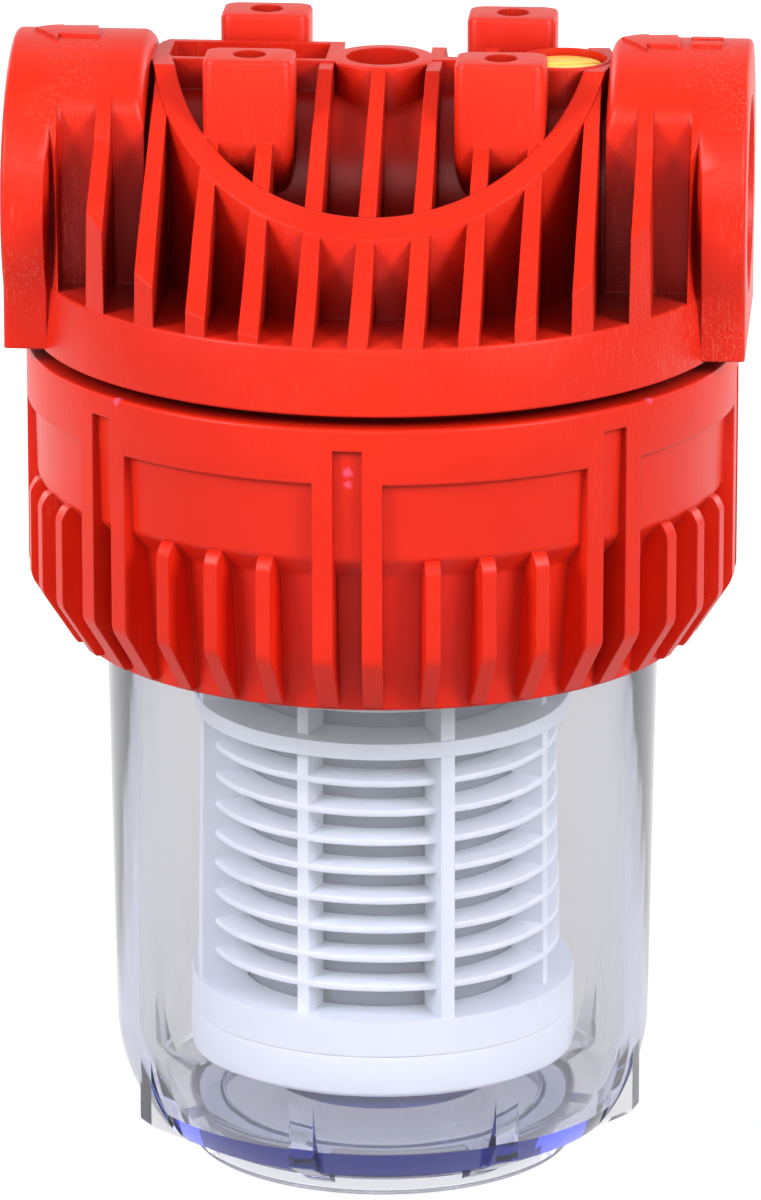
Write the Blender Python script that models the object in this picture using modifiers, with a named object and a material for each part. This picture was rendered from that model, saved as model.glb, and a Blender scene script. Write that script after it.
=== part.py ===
"""Cartridge water filter for one-inch pipework, in metres, standing on its bowl.

Z is the axis of the bowl. Water enters the head at the +X port, falls into the
bowl, passes the mesh from outside to inside, and leaves up the centre of the
cartridge to the -X port. The front is -Y.
"""
import math

import bmesh
import bpy
from mathutils import Matrix, Vector

# Clearances
SEAT_GAP = 0.0003          # between two pieces that touch
THREAD_GAP = 0.0004        # nut bore to head skirt, threads left off
SLIDE_GAP = 0.0006         # nut to the turned bowl inside it
RING_GAP = 0.0019          # nut top to the underside of the head
EMBED = 0.0020             # how far a joined form is sunk into its carrier

# Facets of the turned forms
LARGE_STEPS = 40
BOWL_STEPS = 32
SLAT_STEPS = 16
CAP_STEPS = 24
PORT_STEPS = 24
SMALL_STEPS = 16
CORD_STEPS = 6

# Bowl
FOOT_R = 0.0350            # foot ring, at the floor
FOOT_TOP_R = 0.0365        # foot ring, where it meets the shelf
FOOT_H = 0.0068
FOOT_RECESS_R = 0.0300
FOOT_RECESS_H = 0.0030
BOWL_FLOOR_Z = 0.0115
WATER_GAP = 0.0097         # between the cartridge and the bowl's wall
BOWL_WALL = 0.0040
BOWL_TAPER = 0.0014        # from the rounded bottom out to the shoulder
CORNER_R = 0.0330          # outer arc of the rounded bottom
CORNER_Z = 0.0260
SHOULDER_W = 0.0026
NECK_WALL = 0.0052
SHOULDER_H = 0.0045        # from the shoulder up to the wide bore of the neck
RIM_CHAMFER = 0.0008
SEAT_R = 0.0205            # pedestal that the cartridge stands on
SEAT_Z = 0.0173
LOCATOR_R = 0.0135         # nose that centres the cartridge, bowl and head alike
LOCATOR_H = 0.0072
LOCATOR_BORE_R = 0.0105
LUG_COUNT = 8
LUG_WIDTH = 0.0045
LUG_SET_IN = 0.0003        # lug face inside the bowl's widest line
LUG_CHAMFER_Z = 0.0095     # where the slope under a lug starts
LUG_ANGLE = 31.6           # degrees from the front, towards +X

# Seal in the neck of the bowl
SEAL_CORD_R = 0.0016
SEAL_GROOVE_DEPTH = 0.0034
SEAL_GROOVE_H = 0.0037
SEAL_RIM_LAND = 0.0030     # neck left above the groove

# Cartridge
CAP_R = 0.0351
CAP_LENGTH = 0.1302        # over both caps
CAP_H = 0.0080
CAP_FLOOR = 0.0030
CAP_SKIRT = 0.0034
CAP_EDGE = 0.0010
CAP_BORE_R = 0.0142
GASKET_R = 0.0225
GASKET_T = 0.0012
COLLAR_H = 0.0065
COLLAR_WALL = 0.0046       # of the cage, inside the caps' skirts
SLAT_DEPTH = 0.0060
SLAT_T = 0.0013
SLATS_PER_HALF = 8
MIDDLE_DISC_T = 0.0029
MAIN_FIN_SET_IN = 0.0003   # main fins inside the caps' edge
MAIN_FIN_T = 0.0026
MINOR_FIN_T = 0.0022
FIN_PAIRS = 2              # main fins lie across the axis in pairs
MAIN_FIN_ANGLE = 22.0      # degrees from the front, towards +X
MESH_T = 0.0006

# Clamping nut
NUT_H = 0.0534
NUT_EDGE = 0.0006
BAND_H = 0.0101            # smooth band at full radius
BAND_WALL = 0.0062
RECESS_DEPTH = 0.0015      # of the wall between the ribs, below the band
RECESS_DRAFT = 0.0003
RECESS_H = 0.0140
LEDGE_H = 0.0040
GRIP_WALL = 0.0051         # wall between the grip ribs, at their top
NUT_FOOT_WALL = 0.0025     # and at their foot
LIP_H = 0.0035
NUT_STEP_T = 0.0030        # where the bore steps in under the skirt
RIB_SECTORS = 8
TWIN_SPREAD = 3.9          # degrees from the sector's centre
TWIN_WIDTH = 0.0036
GRIP_SPREAD = 9.0          # degrees between the three short ribs
GRIP_WIDTH = 0.0027
RIB_CHAMFER_H = 0.0100
RIB_FOOT_DEPTH = 0.0016    # how far the ribs stand out at the foot
RIB_FOOT_H = 0.0010
NOTCH_H = 0.0062           # channel that runs on above the twin ribs
NUT_ANGLE = -1.4           # degrees from the front, towards +X
THREAD_LENGTH = 0.0220     # travel that frees the nut

# Head: drum and skirt
FLANGE_SET_IN = 0.0010     # flange inside the nut's widest line
FLANGE_DRAFT = 0.0013
FLANGE_H = 0.0119
PLATE_T = 0.0050
SKIRT_WALL = 0.0042
SEAT_DROP = 0.0040         # bowl rim seat below the flange
SEAT_LEDGE_W = 0.0043      # ledge that the bowl's rim comes up to
SPIGOT_R = 0.0165
SPIGOT_DROP = 0.0028       # cartridge seat below the flange
OUTLET_R = 0.0105

# Head: ports
PORT_SPAN = 0.1316         # face to face
PORT_RISE = 0.0255         # port axis above the flange
PORT_R = 0.0275
PORT_INNER_X = 0.0408
PORT_END_BEVEL = (0.0018, 0.0025)   # along the port and across it, inner end
PORT_FACE_BEVEL = 0.0007
PORT_CORE_HALF = 0.0201    # half width of the barrel between the ribs
PORT_PAD_W = 0.0077        # end of the barrel with straight sides
PORT_LIFT = 0.0006         # underside of the ports above the flange's
SOCKET_R = 0.0158
SOCKET_DEPTH = 0.0180
SOCKET_LEAD_R = 0.0172
SOCKET_LEAD_D = 0.0015
PASSAGE_R = 0.0100
TUBE_R = 0.0186
INLET_END_X = 0.0255
INLET_DROP_X = 0.0360
INLET_DROP_R = 0.0085

# Head: ribs and the curved wall
RIB_PITCH = 0.00957
RIBS_PER_SIDE = 6
PORT_RIBS = 2              # outermost of them, which run up over each port
HEAD_RIB_LOW = 0.0037
HEAD_RIB_HIGH = 0.0025
WALL_R = 0.0410
WALL_T = 0.0036
WALL_DRAFT = 0.0010
WALL_PROUD = 0.0004
ROOF_TOP_Y = 0.0092        # where the ribs meet the beam
ROOF_BELOW_BEAM = 0.0003
ROOF_WALL_H = 0.0263       # above the flange's underside, at the curved wall
ROOF_SAG = 0.0015          # hollow of the slope outside the curved wall
ROOF_SAG_STEPS = 2

# Head: posts, beam and bosses
POST_X = 0.0222
POST_Y = 0.0180
POST_W = 0.0160
POST_D = 0.0109
POST_CORNER = 0.0028
POST_TOP = 0.0536
SCREW_R = 0.0030
SCREW_DEPTH = 0.0160
BEAM_TOP = 0.0493
BEAM_LEFT_X = -0.0396
BEAM_RIGHT_X = -0.0075
BEAM_FRONT_Y = -0.0040
BEAM_BACK_Y = 0.0110
BEAM_WALL = 0.0016
POCKET_DEPTH = 0.0060
BOSS_R = 0.0092
BOSS_HOLE_R = 0.00655
BOSS_HOLE_DEPTH = 0.0060
WEB_T = 0.0026
VENT_X = 0.0324
VENT_BOSS_R = 0.0085

# Vent screw
VENT_HEAD_R = 0.0074
VENT_HEAD_H = 0.0034
VENT_BELOW_RIM = 0.0008
VENT_SLOT_W = 0.0016
VENT_SLOT_D = 0.0016
VENT_SLOT_ANGLE = 12.0
VENT_SHANK_R = 0.0052
VENT_SHANK_L = 0.0070
VENT_BLEED_R = 0.0012
VENT_RING_R = 0.0008

# Heights worked out from the bottom up
CAP_LOW_Z = SEAT_Z + SEAT_GAP + GASKET_T + SEAT_GAP
CAP_TOP_Z = CAP_LOW_Z + CAP_LENGTH
CART_MID_Z = (CAP_LOW_Z + CAP_TOP_Z) / 2
SPIGOT_Z = CAP_TOP_Z + SEAT_GAP + GASKET_T + SEAT_GAP
FLANGE_Z = SPIGOT_Z + SPIGOT_DROP
PLATE_Z = FLANGE_Z + FLANGE_H
CEILING_Z = PLATE_Z - PLATE_T
RIM_SEAT_Z = FLANGE_Z - SEAT_DROP
RIM_Z = RIM_SEAT_Z - SEAT_GAP
PORT_Z = FLANGE_Z + PORT_RISE
BEAM_Z = FLANGE_Z + BEAM_TOP
POST_Z = FLANGE_Z + POST_TOP
NUT_TOP_Z = FLANGE_Z - RING_GAP
NUT_Z = NUT_TOP_Z - NUT_H
BAND_Z = NUT_TOP_Z - BAND_H
LEDGE_Z = BAND_Z - RECESS_H
GRIP_Z = LEDGE_Z - LEDGE_H
SHOULDER_Z = NUT_Z + LIP_H + SEAT_GAP
SKIRT_LOW_Z = RIM_Z - THREAD_LENGTH + 0.5 * RIM_CHAMFER

# Radii worked out from the cartridge outwards
COLLAR_R = CAP_R - CAP_SKIRT - 2 * SEAT_GAP
CAGE_BORE_R = COLLAR_R - COLLAR_WALL
SLAT_R = CAGE_BORE_R + SLAT_DEPTH
MAIN_FIN_R = CAP_R - MAIN_FIN_SET_IN
BOWL_R = CAP_R + WATER_GAP + BOWL_WALL
BOWL_TOP_R = BOWL_R + BOWL_TAPER
NECK_R = BOWL_TOP_R + SHOULDER_W
SKIRT_BORE_R = NECK_R + THREAD_GAP
SKIRT_R = SKIRT_BORE_R + SKIRT_WALL
CHAMBER_R = NECK_R - SEAT_LEDGE_W
NUT_BORE_R = SKIRT_R + THREAD_GAP
NUT_LOW_BORE_R = NECK_R + SLIDE_GAP
LIP_BORE_R = BOWL_TOP_R + SLIDE_GAP
NUT_R = NUT_BORE_R + BAND_WALL
RECESS_R = NUT_R - RECESS_DEPTH
RECESS_LOW_R = RECESS_R - RECESS_DRAFT
GRIP_WALL_R = NUT_LOW_BORE_R + GRIP_WALL
NUT_FOOT_R = NUT_LOW_BORE_R + NUT_FOOT_WALL
RIB_FOOT_R = NUT_FOOT_R + RIB_FOOT_DEPTH
FLANGE_R = NUT_R - FLANGE_SET_IN
FLANGE_TOP_R = FLANGE_R - FLANGE_DRAFT


def clear_scene():
    """Remove the objects of the open file."""
    for obj in list(bpy.data.objects):
        bpy.data.objects.remove(obj, do_unlink=True)


def new_collection(name):
    """Make a collection and put it in the scene."""
    collection = bpy.data.collections.new(name)
    bpy.context.scene.collection.children.link(collection)
    return collection


def principled(name, colour, roughness, metallic=0.0, alpha=1.0):
    """Make a plain Principled material."""
    material = bpy.data.materials.new(name)
    material.use_nodes = True
    shader = material.node_tree.nodes["Principled BSDF"]
    shader.inputs["Base Color"].default_value = (*colour, 1.0)
    shader.inputs["Roughness"].default_value = roughness
    shader.inputs["Metallic"].default_value = metallic
    shader.inputs["Alpha"].default_value = alpha
    material.diffuse_color = (*colour, alpha)
    return material


def place(name, mesh, collection):
    """Put a mesh in the scene as an object, wired and unrendered if it is a tool."""
    obj = bpy.data.objects.new(name, mesh)
    collection.objects.link(obj)
    if collection.name == "shaping":
        obj.hide_render = True
        obj.display_type = "WIRE"
    return obj


def place_bmesh(name, bm, collection):
    """Turn a bmesh into an object with its faces pointing out."""
    bmesh.ops.recalc_face_normals(bm, faces=bm.faces)
    mesh = bpy.data.meshes.new(name)
    bm.to_mesh(mesh)
    bm.free()
    return place(name, mesh, collection)


def turned(name, profile, steps, collection, ring=False, phase=0.0):
    """Turn (radius, height) points about Z, from the top down the outer side.

    A ring has a closed section; any other profile starts and ends on the axis.
    The phase, in degrees from the front, is where a corner of the facets lies.
    """
    start = math.radians(phase - 90)
    points = [(radius * math.cos(start), radius * math.sin(start), height)
              for radius, height in profile]
    return spun(name, points, "Z", math.tau, steps, collection, ring)


def turned_along_x(name, profile, side, steps, collection):
    """Turn (radius, distance) points about the ports' axis, from the face inwards."""
    points = [(side * distance, side * radius, 0.0) for radius, distance in profile]
    obj = spun(name, points, "X", side * math.tau, steps, collection)
    obj.location = (0.0, 0.0, PORT_Z)
    return obj


def spun(name, points, axis, angle, steps, collection, ring=False):
    """Turn a line of points about an axis of its object."""
    edges = [(index, index + 1) for index in range(len(points) - 1)]
    if ring:
        edges.append((len(points) - 1, 0))
    mesh = bpy.data.meshes.new(name)
    mesh.from_pydata(points, edges, [])
    obj = place(name, mesh, collection)
    screw = obj.modifiers.new("turn", "SCREW")
    screw.axis = axis
    screw.angle = angle
    screw.steps = steps
    screw.render_steps = steps
    screw.use_merge_vertices = True
    screw.merge_threshold = 0.00001
    return obj


def add_prism(bm, outline, low, high, axis):
    """Add a flat outline, drawn across an axis, pushed from low to high along it."""
    spots = {"X": lambda u, v: (low, u, v),
             "Y": lambda u, v: (u, low, v),
             "Z": lambda u, v: (u, v, low)}
    push = {"X": Vector((1, 0, 0)), "Y": Vector((0, 1, 0)), "Z": Vector((0, 0, 1))}
    corners = [bm.verts.new(spots[axis](u, v)) for u, v in outline]
    face = bm.faces.new(corners)
    grown = bmesh.ops.extrude_face_region(bm, geom=[face], use_keep_orig=True)
    moved = [item for item in grown["geom"] if isinstance(item, bmesh.types.BMVert)]
    bmesh.ops.translate(bm, verts=moved, vec=push[axis] * (high - low))
    return corners + moved


def prism(name, outline, low, high, axis, collection):
    """Make one pushed outline as an object."""
    bm = bmesh.new()
    add_prism(bm, outline, low, high, axis)
    return place_bmesh(name, bm, collection)


def add_rod(bm, radius, start, end, steps):
    """Add a capped cylinder between two points."""
    start = Vector(start)
    span = Vector(end) - start
    turn = span.to_track_quat("Z", "Y").to_matrix().to_4x4()
    where = Matrix.Translation(start + span / 2) @ turn
    bmesh.ops.create_cone(bm, cap_ends=True, segments=steps, radius1=radius,
                          radius2=radius, depth=span.length, matrix=where)


def rod(name, radius, start, end, steps, collection):
    """Make one cylinder as an object."""
    bm = bmesh.new()
    add_rod(bm, radius, start, end, steps)
    return place_bmesh(name, bm, collection)


def rectangle(left, right, low, high):
    """Corners of an upright rectangle."""
    return [(left, low), (right, low), (right, high), (left, high)]


def rounded_rectangle(centre_x, centre_y, width, depth, corner, steps=3):
    """Outline of a rectangle with round corners."""
    outline = []
    for quarter, (side_x, side_y) in enumerate(((1, 1), (-1, 1), (-1, -1), (1, -1))):
        middle_x = centre_x + side_x * (width / 2 - corner)
        middle_y = centre_y + side_y * (depth / 2 - corner)
        for step in range(steps + 1):
            angle = math.radians(90 * (quarter + step / steps))
            outline.append((middle_x + corner * math.cos(angle),
                            middle_y + corner * math.sin(angle)))
    return outline


def arch(radius, base, steps=16):
    """Outline in Y and Z of the water tube: round over the ports' axis, straight below."""
    outline = [(-radius, base), (radius, base)]
    for step in range(steps + 1):
        angle = math.pi * step / steps
        outline.append((radius * math.cos(angle), PORT_Z + radius * math.sin(angle)))
    return outline


def arc_points(centre, radius, start, end, steps):
    """Points on an arc, angles in degrees from the +radius direction."""
    points = []
    for step in range(steps + 1):
        angle = math.radians(start + (end - start) * step / steps)
        points.append((centre[0] + radius * math.cos(angle),
                       centre[1] + radius * math.sin(angle)))
    return points


def front_turn(degrees):
    """Turn about Z that carries the front, -Y, towards +X."""
    return Matrix.Rotation(math.radians(degrees), 4, "Z")


def spin_prisms(name, outline, width, angles, collection):
    """Upright fins: outlines in radius and height, set round the axis."""
    bm = bmesh.new()
    for angle in angles:
        fin = add_prism(bm, [(-radius, height) for radius, height in outline],
                        -width / 2, width / 2, "X")
        bmesh.ops.rotate(bm, verts=fin, cent=(0, 0, 0), matrix=front_turn(angle))
    return place_bmesh(name, bm, collection)


def combine(obj, operation, tool):
    """Join, cut or keep the common part with a Boolean."""
    boolean = obj.modifiers.new(operation.lower(), "BOOLEAN")
    boolean.operation = operation
    boolean.solver = "EXACT"
    boolean.object = tool


def weld(obj):
    """Close the hairline splits that a Boolean can leave between its facets."""
    modifier = obj.modifiers.new("weld", "WELD")
    modifier.merge_threshold = 0.00001


def finish(obj, material, sharp_degrees=35.0):
    """Apply the modifiers, shade the piece and give it its material."""
    graph = bpy.context.evaluated_depsgraph_get()
    mesh = bpy.data.meshes.new_from_object(obj.evaluated_get(graph))
    mesh.name = obj.name
    obj.modifiers.clear()
    obj.data = mesh
    mesh.materials.clear()
    mesh.materials.append(material)
    mesh.shade_smooth()
    mesh.set_sharp_from_angle(angle=math.radians(sharp_degrees))


def corner_radius(arc_r, height):
    """Radius of the bowl's rounded bottom at a height, for a concentric arc."""
    drop = CORNER_Z - height
    return BOWL_R - CORNER_R + math.sqrt(arc_r ** 2 - drop ** 2)


def build_bowl(parts, tools, material):
    """Clear bowl: stepped neck, rounded thick bottom, foot ring and eight lugs."""
    inner_arc = CORNER_R - BOWL_WALL
    shelf_angle = math.degrees(math.asin((FOOT_H - CORNER_Z) / CORNER_R))
    floor_angle = math.degrees(math.asin((BOWL_FLOOR_Z - CORNER_Z) / inner_arc))
    corner_centre = (BOWL_R - CORNER_R, CORNER_Z)
    groove_top = RIM_Z - SEAL_RIM_LAND
    groove_low = groove_top - SEAL_GROOVE_H
    groove_r = NECK_R - SEAL_GROOVE_DEPTH
    neck_bore = NECK_R - NECK_WALL
    body_bore = BOWL_TOP_R - BOWL_WALL
    profile = [(neck_bore, RIM_Z),
               (NECK_R - RIM_CHAMFER, RIM_Z),
               (NECK_R, RIM_Z - RIM_CHAMFER),
               (NECK_R, groove_top),
               (groove_r, groove_top),
               (groove_r, groove_low),
               (NECK_R, groove_low),
               (NECK_R, SHOULDER_Z),
               (BOWL_TOP_R, SHOULDER_Z)]
    profile += arc_points(corner_centre, CORNER_R, 0, shelf_angle, 4)
    profile += [(FOOT_TOP_R, FOOT_H),
                (FOOT_R, 0.0),
                (FOOT_RECESS_R, 0.0),
                (FOOT_RECESS_R, FOOT_RECESS_H),
                (0.0, FOOT_RECESS_H)]
    inside = [(body_bore, SHOULDER_Z - EMBED),
              (neck_bore, SHOULDER_Z + SHOULDER_H)]
    inner_corner = arc_points(corner_centre, inner_arc, floor_angle, 0, 3)
    hollow = [(0.0, BOWL_FLOOR_Z),
              (LOCATOR_BORE_R, BOWL_FLOOR_Z),
              (LOCATOR_BORE_R, SEAT_Z + LOCATOR_H),
              (LOCATOR_R, SEAT_Z + LOCATOR_H),
              (LOCATOR_R, SEAT_Z),
              (SEAT_R, SEAT_Z),
              (SEAT_R, BOWL_FLOOR_Z)]
    section = profile + hollow + inner_corner + inside
    bowl = turned("bowl", section, BOWL_STEPS, parts, ring=True)
    middle_arc = CORNER_R - BOWL_WALL / 2
    lug_top = CORNER_Z - 0.05 * CORNER_R
    under_floor = (FOOT_H + BOWL_FLOOR_Z) / 2
    lug_face = BOWL_R - LUG_SET_IN
    outline = [(FOOT_RECESS_R + EMBED, 0.0005),
               (lug_face, LUG_CHAMFER_Z),
               (lug_face, lug_top),
               (corner_radius(middle_arc, lug_top), lug_top),
               (corner_radius(middle_arc, LUG_CHAMFER_Z + FOOT_H),
                LUG_CHAMFER_Z + FOOT_H),
               (corner_radius(middle_arc, under_floor), under_floor),
               (FOOT_RECESS_R + EMBED, under_floor)]
    angles = [LUG_ANGLE + 360 / LUG_COUNT * index for index in range(LUG_COUNT)]
    lugs = spin_prisms("bowl_lugs", outline, LUG_WIDTH, angles, tools)
    combine(bowl, "UNION", lugs)
    finish(bowl, material)


def torus(name, ring_r, cord_r, height, ring_steps, collection):
    """Round ring of round cord."""
    section = arc_points((ring_r, height), cord_r, 90, -270, CORD_STEPS)[:-1]
    return turned(name, section, ring_steps, collection, ring=True)


def build_seal(parts, material):
    """Rubber ring in the groove of the bowl's neck."""
    height = RIM_Z - SEAL_RIM_LAND - SEAL_GROOVE_H / 2
    ring_r = NECK_R - SEAL_GROOVE_DEPTH + SEAT_GAP + SEAL_CORD_R
    ring = torus("bowl_o_ring", ring_r, SEAL_CORD_R, height, BOWL_STEPS, parts)
    finish(ring, material, 80.0)


def build_caps(parts, materials):
    """End caps of the cartridge, each with a soft gasket on its outer face."""
    for name, side in (("lower", -1), ("upper", 1)):
        face = CART_MID_Z + side * CAP_LENGTH / 2
        section = [(CAP_BORE_R, 0.0),
                   (CAP_R - CAP_EDGE, 0.0),
                   (CAP_R, CAP_EDGE),
                   (CAP_R, CAP_H),
                   (CAP_R - CAP_SKIRT, CAP_H),
                   (CAP_R - CAP_SKIRT, CAP_FLOOR),
                   (CAP_BORE_R, CAP_FLOOR)]
        profile = [(radius, face - side * depth) for radius, depth in section]
        if side < 0:
            profile.reverse()
        cap = turned(name + "_end_cap", profile, CAP_STEPS, parts, ring=True)
        finish(cap, materials["white"])
        near = face + side * SEAT_GAP
        far = near + side * GASKET_T
        low, high = min(near, far), max(near, far)
        ring = [(CAP_BORE_R, high), (GASKET_R, high), (GASKET_R, low), (CAP_BORE_R, low)]
        gasket = turned(name + "_gasket", ring, CAP_STEPS, parts, ring=True)
        finish(gasket, materials["gasket"])


def merged(name, objects, collection):
    """Gather separate forms in one object, so that one Boolean takes them all."""
    bm = bmesh.new()
    graph = bpy.context.evaluated_depsgraph_get()
    for obj in objects:
        bm.from_mesh(bpy.data.meshes.new_from_object(obj.evaluated_get(graph)))
        bpy.data.objects.remove(obj, do_unlink=True)
    return place_bmesh(name, bm, collection)


def build_cage(parts, tools, material):
    """White cage: two collars, a middle disc, slats between them and eight fins."""
    half = CAP_LENGTH / 2
    seam = half - CAP_H - SEAT_GAP
    plug_end = half - CAP_FLOOR - SEAT_GAP
    collar_in = seam - COLLAR_H
    window = collar_in - MIDDLE_DISC_T / 2
    pitch = window / (SLATS_PER_HALF + 1)
    rings = []
    for side in (-1, 1):
        section = [(CAGE_BORE_R, plug_end), (COLLAR_R, plug_end), (COLLAR_R, seam),
                   (CAP_R, seam), (CAP_R, collar_in), (CAGE_BORE_R, collar_in)]
        profile = [(radius, CART_MID_Z + side * depth) for radius, depth in section]
        if side < 0:
            profile.reverse()
        rings.append(turned("cage_collar", profile, CAP_STEPS, tools, ring=True,
                            phase=MAIN_FIN_ANGLE))
        for index in range(SLATS_PER_HALF):
            middle = CART_MID_Z + side * (MIDDLE_DISC_T / 2 + pitch * (index + 1))
            slat = [(CAGE_BORE_R, middle + SLAT_T / 2), (SLAT_R, middle + SLAT_T / 2),
                    (SLAT_R, middle - SLAT_T / 2), (CAGE_BORE_R, middle - SLAT_T / 2)]
            rings.append(turned("cage_slat", slat, SLAT_STEPS, tools, ring=True,
                                phase=MAIN_FIN_ANGLE))
    disc = [(CAGE_BORE_R, CART_MID_Z + MIDDLE_DISC_T / 2),
            (CAP_R, CART_MID_Z + MIDDLE_DISC_T / 2),
            (CAP_R, CART_MID_Z - MIDDLE_DISC_T / 2),
            (CAGE_BORE_R, CART_MID_Z - MIDDLE_DISC_T / 2)]
    cage = turned("cage", disc, CAP_STEPS, parts, ring=True, phase=MAIN_FIN_ANGLE)
    reach = collar_in + COLLAR_H / 2
    low, high = CART_MID_Z - reach, CART_MID_Z + reach
    inner = CAGE_BORE_R * math.cos(math.pi / SLAT_STEPS)
    main = [MAIN_FIN_ANGLE + 180 / FIN_PAIRS * index for index in range(2 * FIN_PAIRS)]
    minor = [angle + 90 / FIN_PAIRS for angle in main]
    main_outline = [(inner, low), (MAIN_FIN_R, low), (MAIN_FIN_R, high), (inner, high)]
    minor_outline = [(inner, low), (SLAT_R, low), (SLAT_R, high), (inner, high)]
    main_fins = spin_prisms("cage_main_fins", main_outline, MAIN_FIN_T, main, tools)
    minor_fins = spin_prisms("cage_minor_fins", minor_outline, MINOR_FIN_T, minor, tools)
    combine(cage, "UNION", main_fins)
    combine(cage, "UNION", minor_fins)
    combine(cage, "UNION", merged("cage_rings", rings, tools))
    finish(cage, material)


def build_mesh_screen(parts, material):
    """Fine nylon sleeve inside the cage, standing on the caps' floors."""
    inner_limit = CAGE_BORE_R * math.cos(math.pi / SLAT_STEPS)
    outer = inner_limit - SEAT_GAP
    reach = CAP_LENGTH / 2 - CAP_FLOOR - SEAT_GAP
    high, low = CART_MID_Z + reach, CART_MID_Z - reach
    section = [(outer - MESH_T, high), (outer, high), (outer, low), (outer - MESH_T, low)]
    screen = turned("mesh_screen", section, CAP_STEPS, parts, ring=True)
    finish(screen, material)


def build_nut(parts, tools, material):
    """Clamping nut: turned body, twin ribs and short grip ribs round it."""
    step_z = SKIRT_LOW_Z - SLIDE_GAP
    profile = [(NUT_BORE_R, NUT_TOP_Z),
               (NUT_R - NUT_EDGE, NUT_TOP_Z),
               (NUT_R, NUT_TOP_Z - NUT_EDGE),
               (NUT_R, BAND_Z),
               (RECESS_R, BAND_Z),
               (RECESS_LOW_R, LEDGE_Z),
               (GRIP_WALL_R, GRIP_Z),
               (NUT_FOOT_R, NUT_Z),
               (LIP_BORE_R, NUT_Z),
               (LIP_BORE_R, NUT_Z + LIP_H),
               (NUT_LOW_BORE_R, NUT_Z + LIP_H),
               (NUT_LOW_BORE_R, step_z - NUT_STEP_T),
               (NUT_BORE_R, step_z)]
    sector = 360 / RIB_SECTORS
    nut = turned("clamp_nut", profile, LARGE_STEPS, parts, ring=True,
                 phase=NUT_ANGLE)
    twins = []
    grips = []
    notches = []
    for index in range(RIB_SECTORS):
        middle = NUT_ANGLE + sector * index
        twins += [middle - TWIN_SPREAD, middle + TWIN_SPREAD]
        grips += [middle + sector / 2 + GRIP_SPREAD * step for step in (-1, 0, 1)]
        notches.append(middle)
    root = NUT_FOOT_R - EMBED / 2
    foot_z = NUT_Z + RIB_FOOT_H
    foot = [(root, foot_z), (RIB_FOOT_R, foot_z), (NUT_R, foot_z + RIB_CHAMFER_H)]
    twin_top = BAND_Z + EMBED
    twin = foot + [(NUT_R, twin_top), (RECESS_LOW_R - EMBED, twin_top),
                   (RECESS_LOW_R - EMBED, LEDGE_Z), (root, GRIP_Z)]
    grip = foot + [(NUT_R, LEDGE_Z - LEDGE_H / 2), (RECESS_R, LEDGE_Z),
                   (RECESS_LOW_R - EMBED, LEDGE_Z), (root, GRIP_Z)]
    combine(nut, "UNION", spin_prisms("nut_twins", twin, TWIN_WIDTH, twins, tools))
    combine(nut, "UNION", spin_prisms("nut_grips", grip, GRIP_WIDTH, grips, tools))
    gap = 2 * NUT_R * math.sin(math.radians(TWIN_SPREAD)) - TWIN_WIDTH
    notch_floor = RECESS_R * math.cos(math.pi / LARGE_STEPS)
    notch = [(notch_floor, BAND_Z - EMBED), (NUT_R + EMBED, BAND_Z - EMBED),
             (NUT_R + EMBED, BAND_Z + NOTCH_H), (notch_floor, BAND_Z + NOTCH_H)]
    combine(nut, "DIFFERENCE", spin_prisms("nut_notches", notch, gap, notches, tools))
    finish(nut, material)


def roof_outline(lift=0.0, over_port=False):
    """Cross-section of the ribs' roof in Y and Z, the same at the front and back.

    Over a port it follows the barrel from its core out to the slope of the roof.
    """
    top_z = BEAM_Z - ROOF_BELOW_BEAM
    wall_y = WALL_R + SEAT_GAP
    wall_z = FLANGE_Z + ROOF_WALL_H
    fall = (top_z - wall_z) / (wall_y - ROOF_TOP_Y)
    half = [(ROOF_TOP_Y, top_z)]
    if over_port:
        half = [(y, z) for y, z in arc_points((0.0, PORT_Z), PORT_R + SEAT_GAP, 50, 0, 10)
                if z > top_z - fall * (y - ROOF_TOP_Y)]
    half.append((wall_y, wall_z))
    for step in range(1, ROOF_SAG_STEPS + 1):
        share = step / ROOF_SAG_STEPS
        sag = ROOF_SAG * 4 * share * (1 - share)
        half.append((wall_y + (FLANGE_TOP_R - wall_y) * share,
                     wall_z + (PLATE_Z - wall_z) * share - sag))
    base = PLATE_Z - EMBED
    right = [(y, z + lift) for y, z in half]
    left = [(-y, z) for y, z in reversed(right)]
    return [(-FLANGE_TOP_R, base)] + left + right + [(FLANGE_TOP_R, base)]


def rib_group(name, indices, roof, tools):
    """Upright tapered ribs across the head, trimmed to a roof and to the flange."""
    bm = bmesh.new()
    base = PLATE_Z - 2 * EMBED
    low, high = HEAD_RIB_LOW / 2, HEAD_RIB_HIGH / 2
    for index in indices:
        middle = index * RIB_PITCH
        outline = [(middle - low, base), (middle + low, base),
                   (middle + high, BEAM_Z), (middle - high, BEAM_Z)]
        add_prism(bm, outline, -FLANGE_R, FLANGE_R, "Y")
    ribs = place_bmesh(name, bm, tools)
    reach = PORT_SPAN / 2
    combine(ribs, "INTERSECT", prism(name + "_roof", roof, -reach, reach, "X", tools))
    outer = FLANGE_TOP_R * math.cos(math.pi / LARGE_STEPS)
    above = BEAM_Z + EMBED
    limit = [(0.0, above), (outer, above), (outer, base - EMBED), (0.0, base - EMBED)]
    combine(ribs, "INTERSECT", turned(name + "_limit", limit, LARGE_STEPS, tools))
    return ribs


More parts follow.
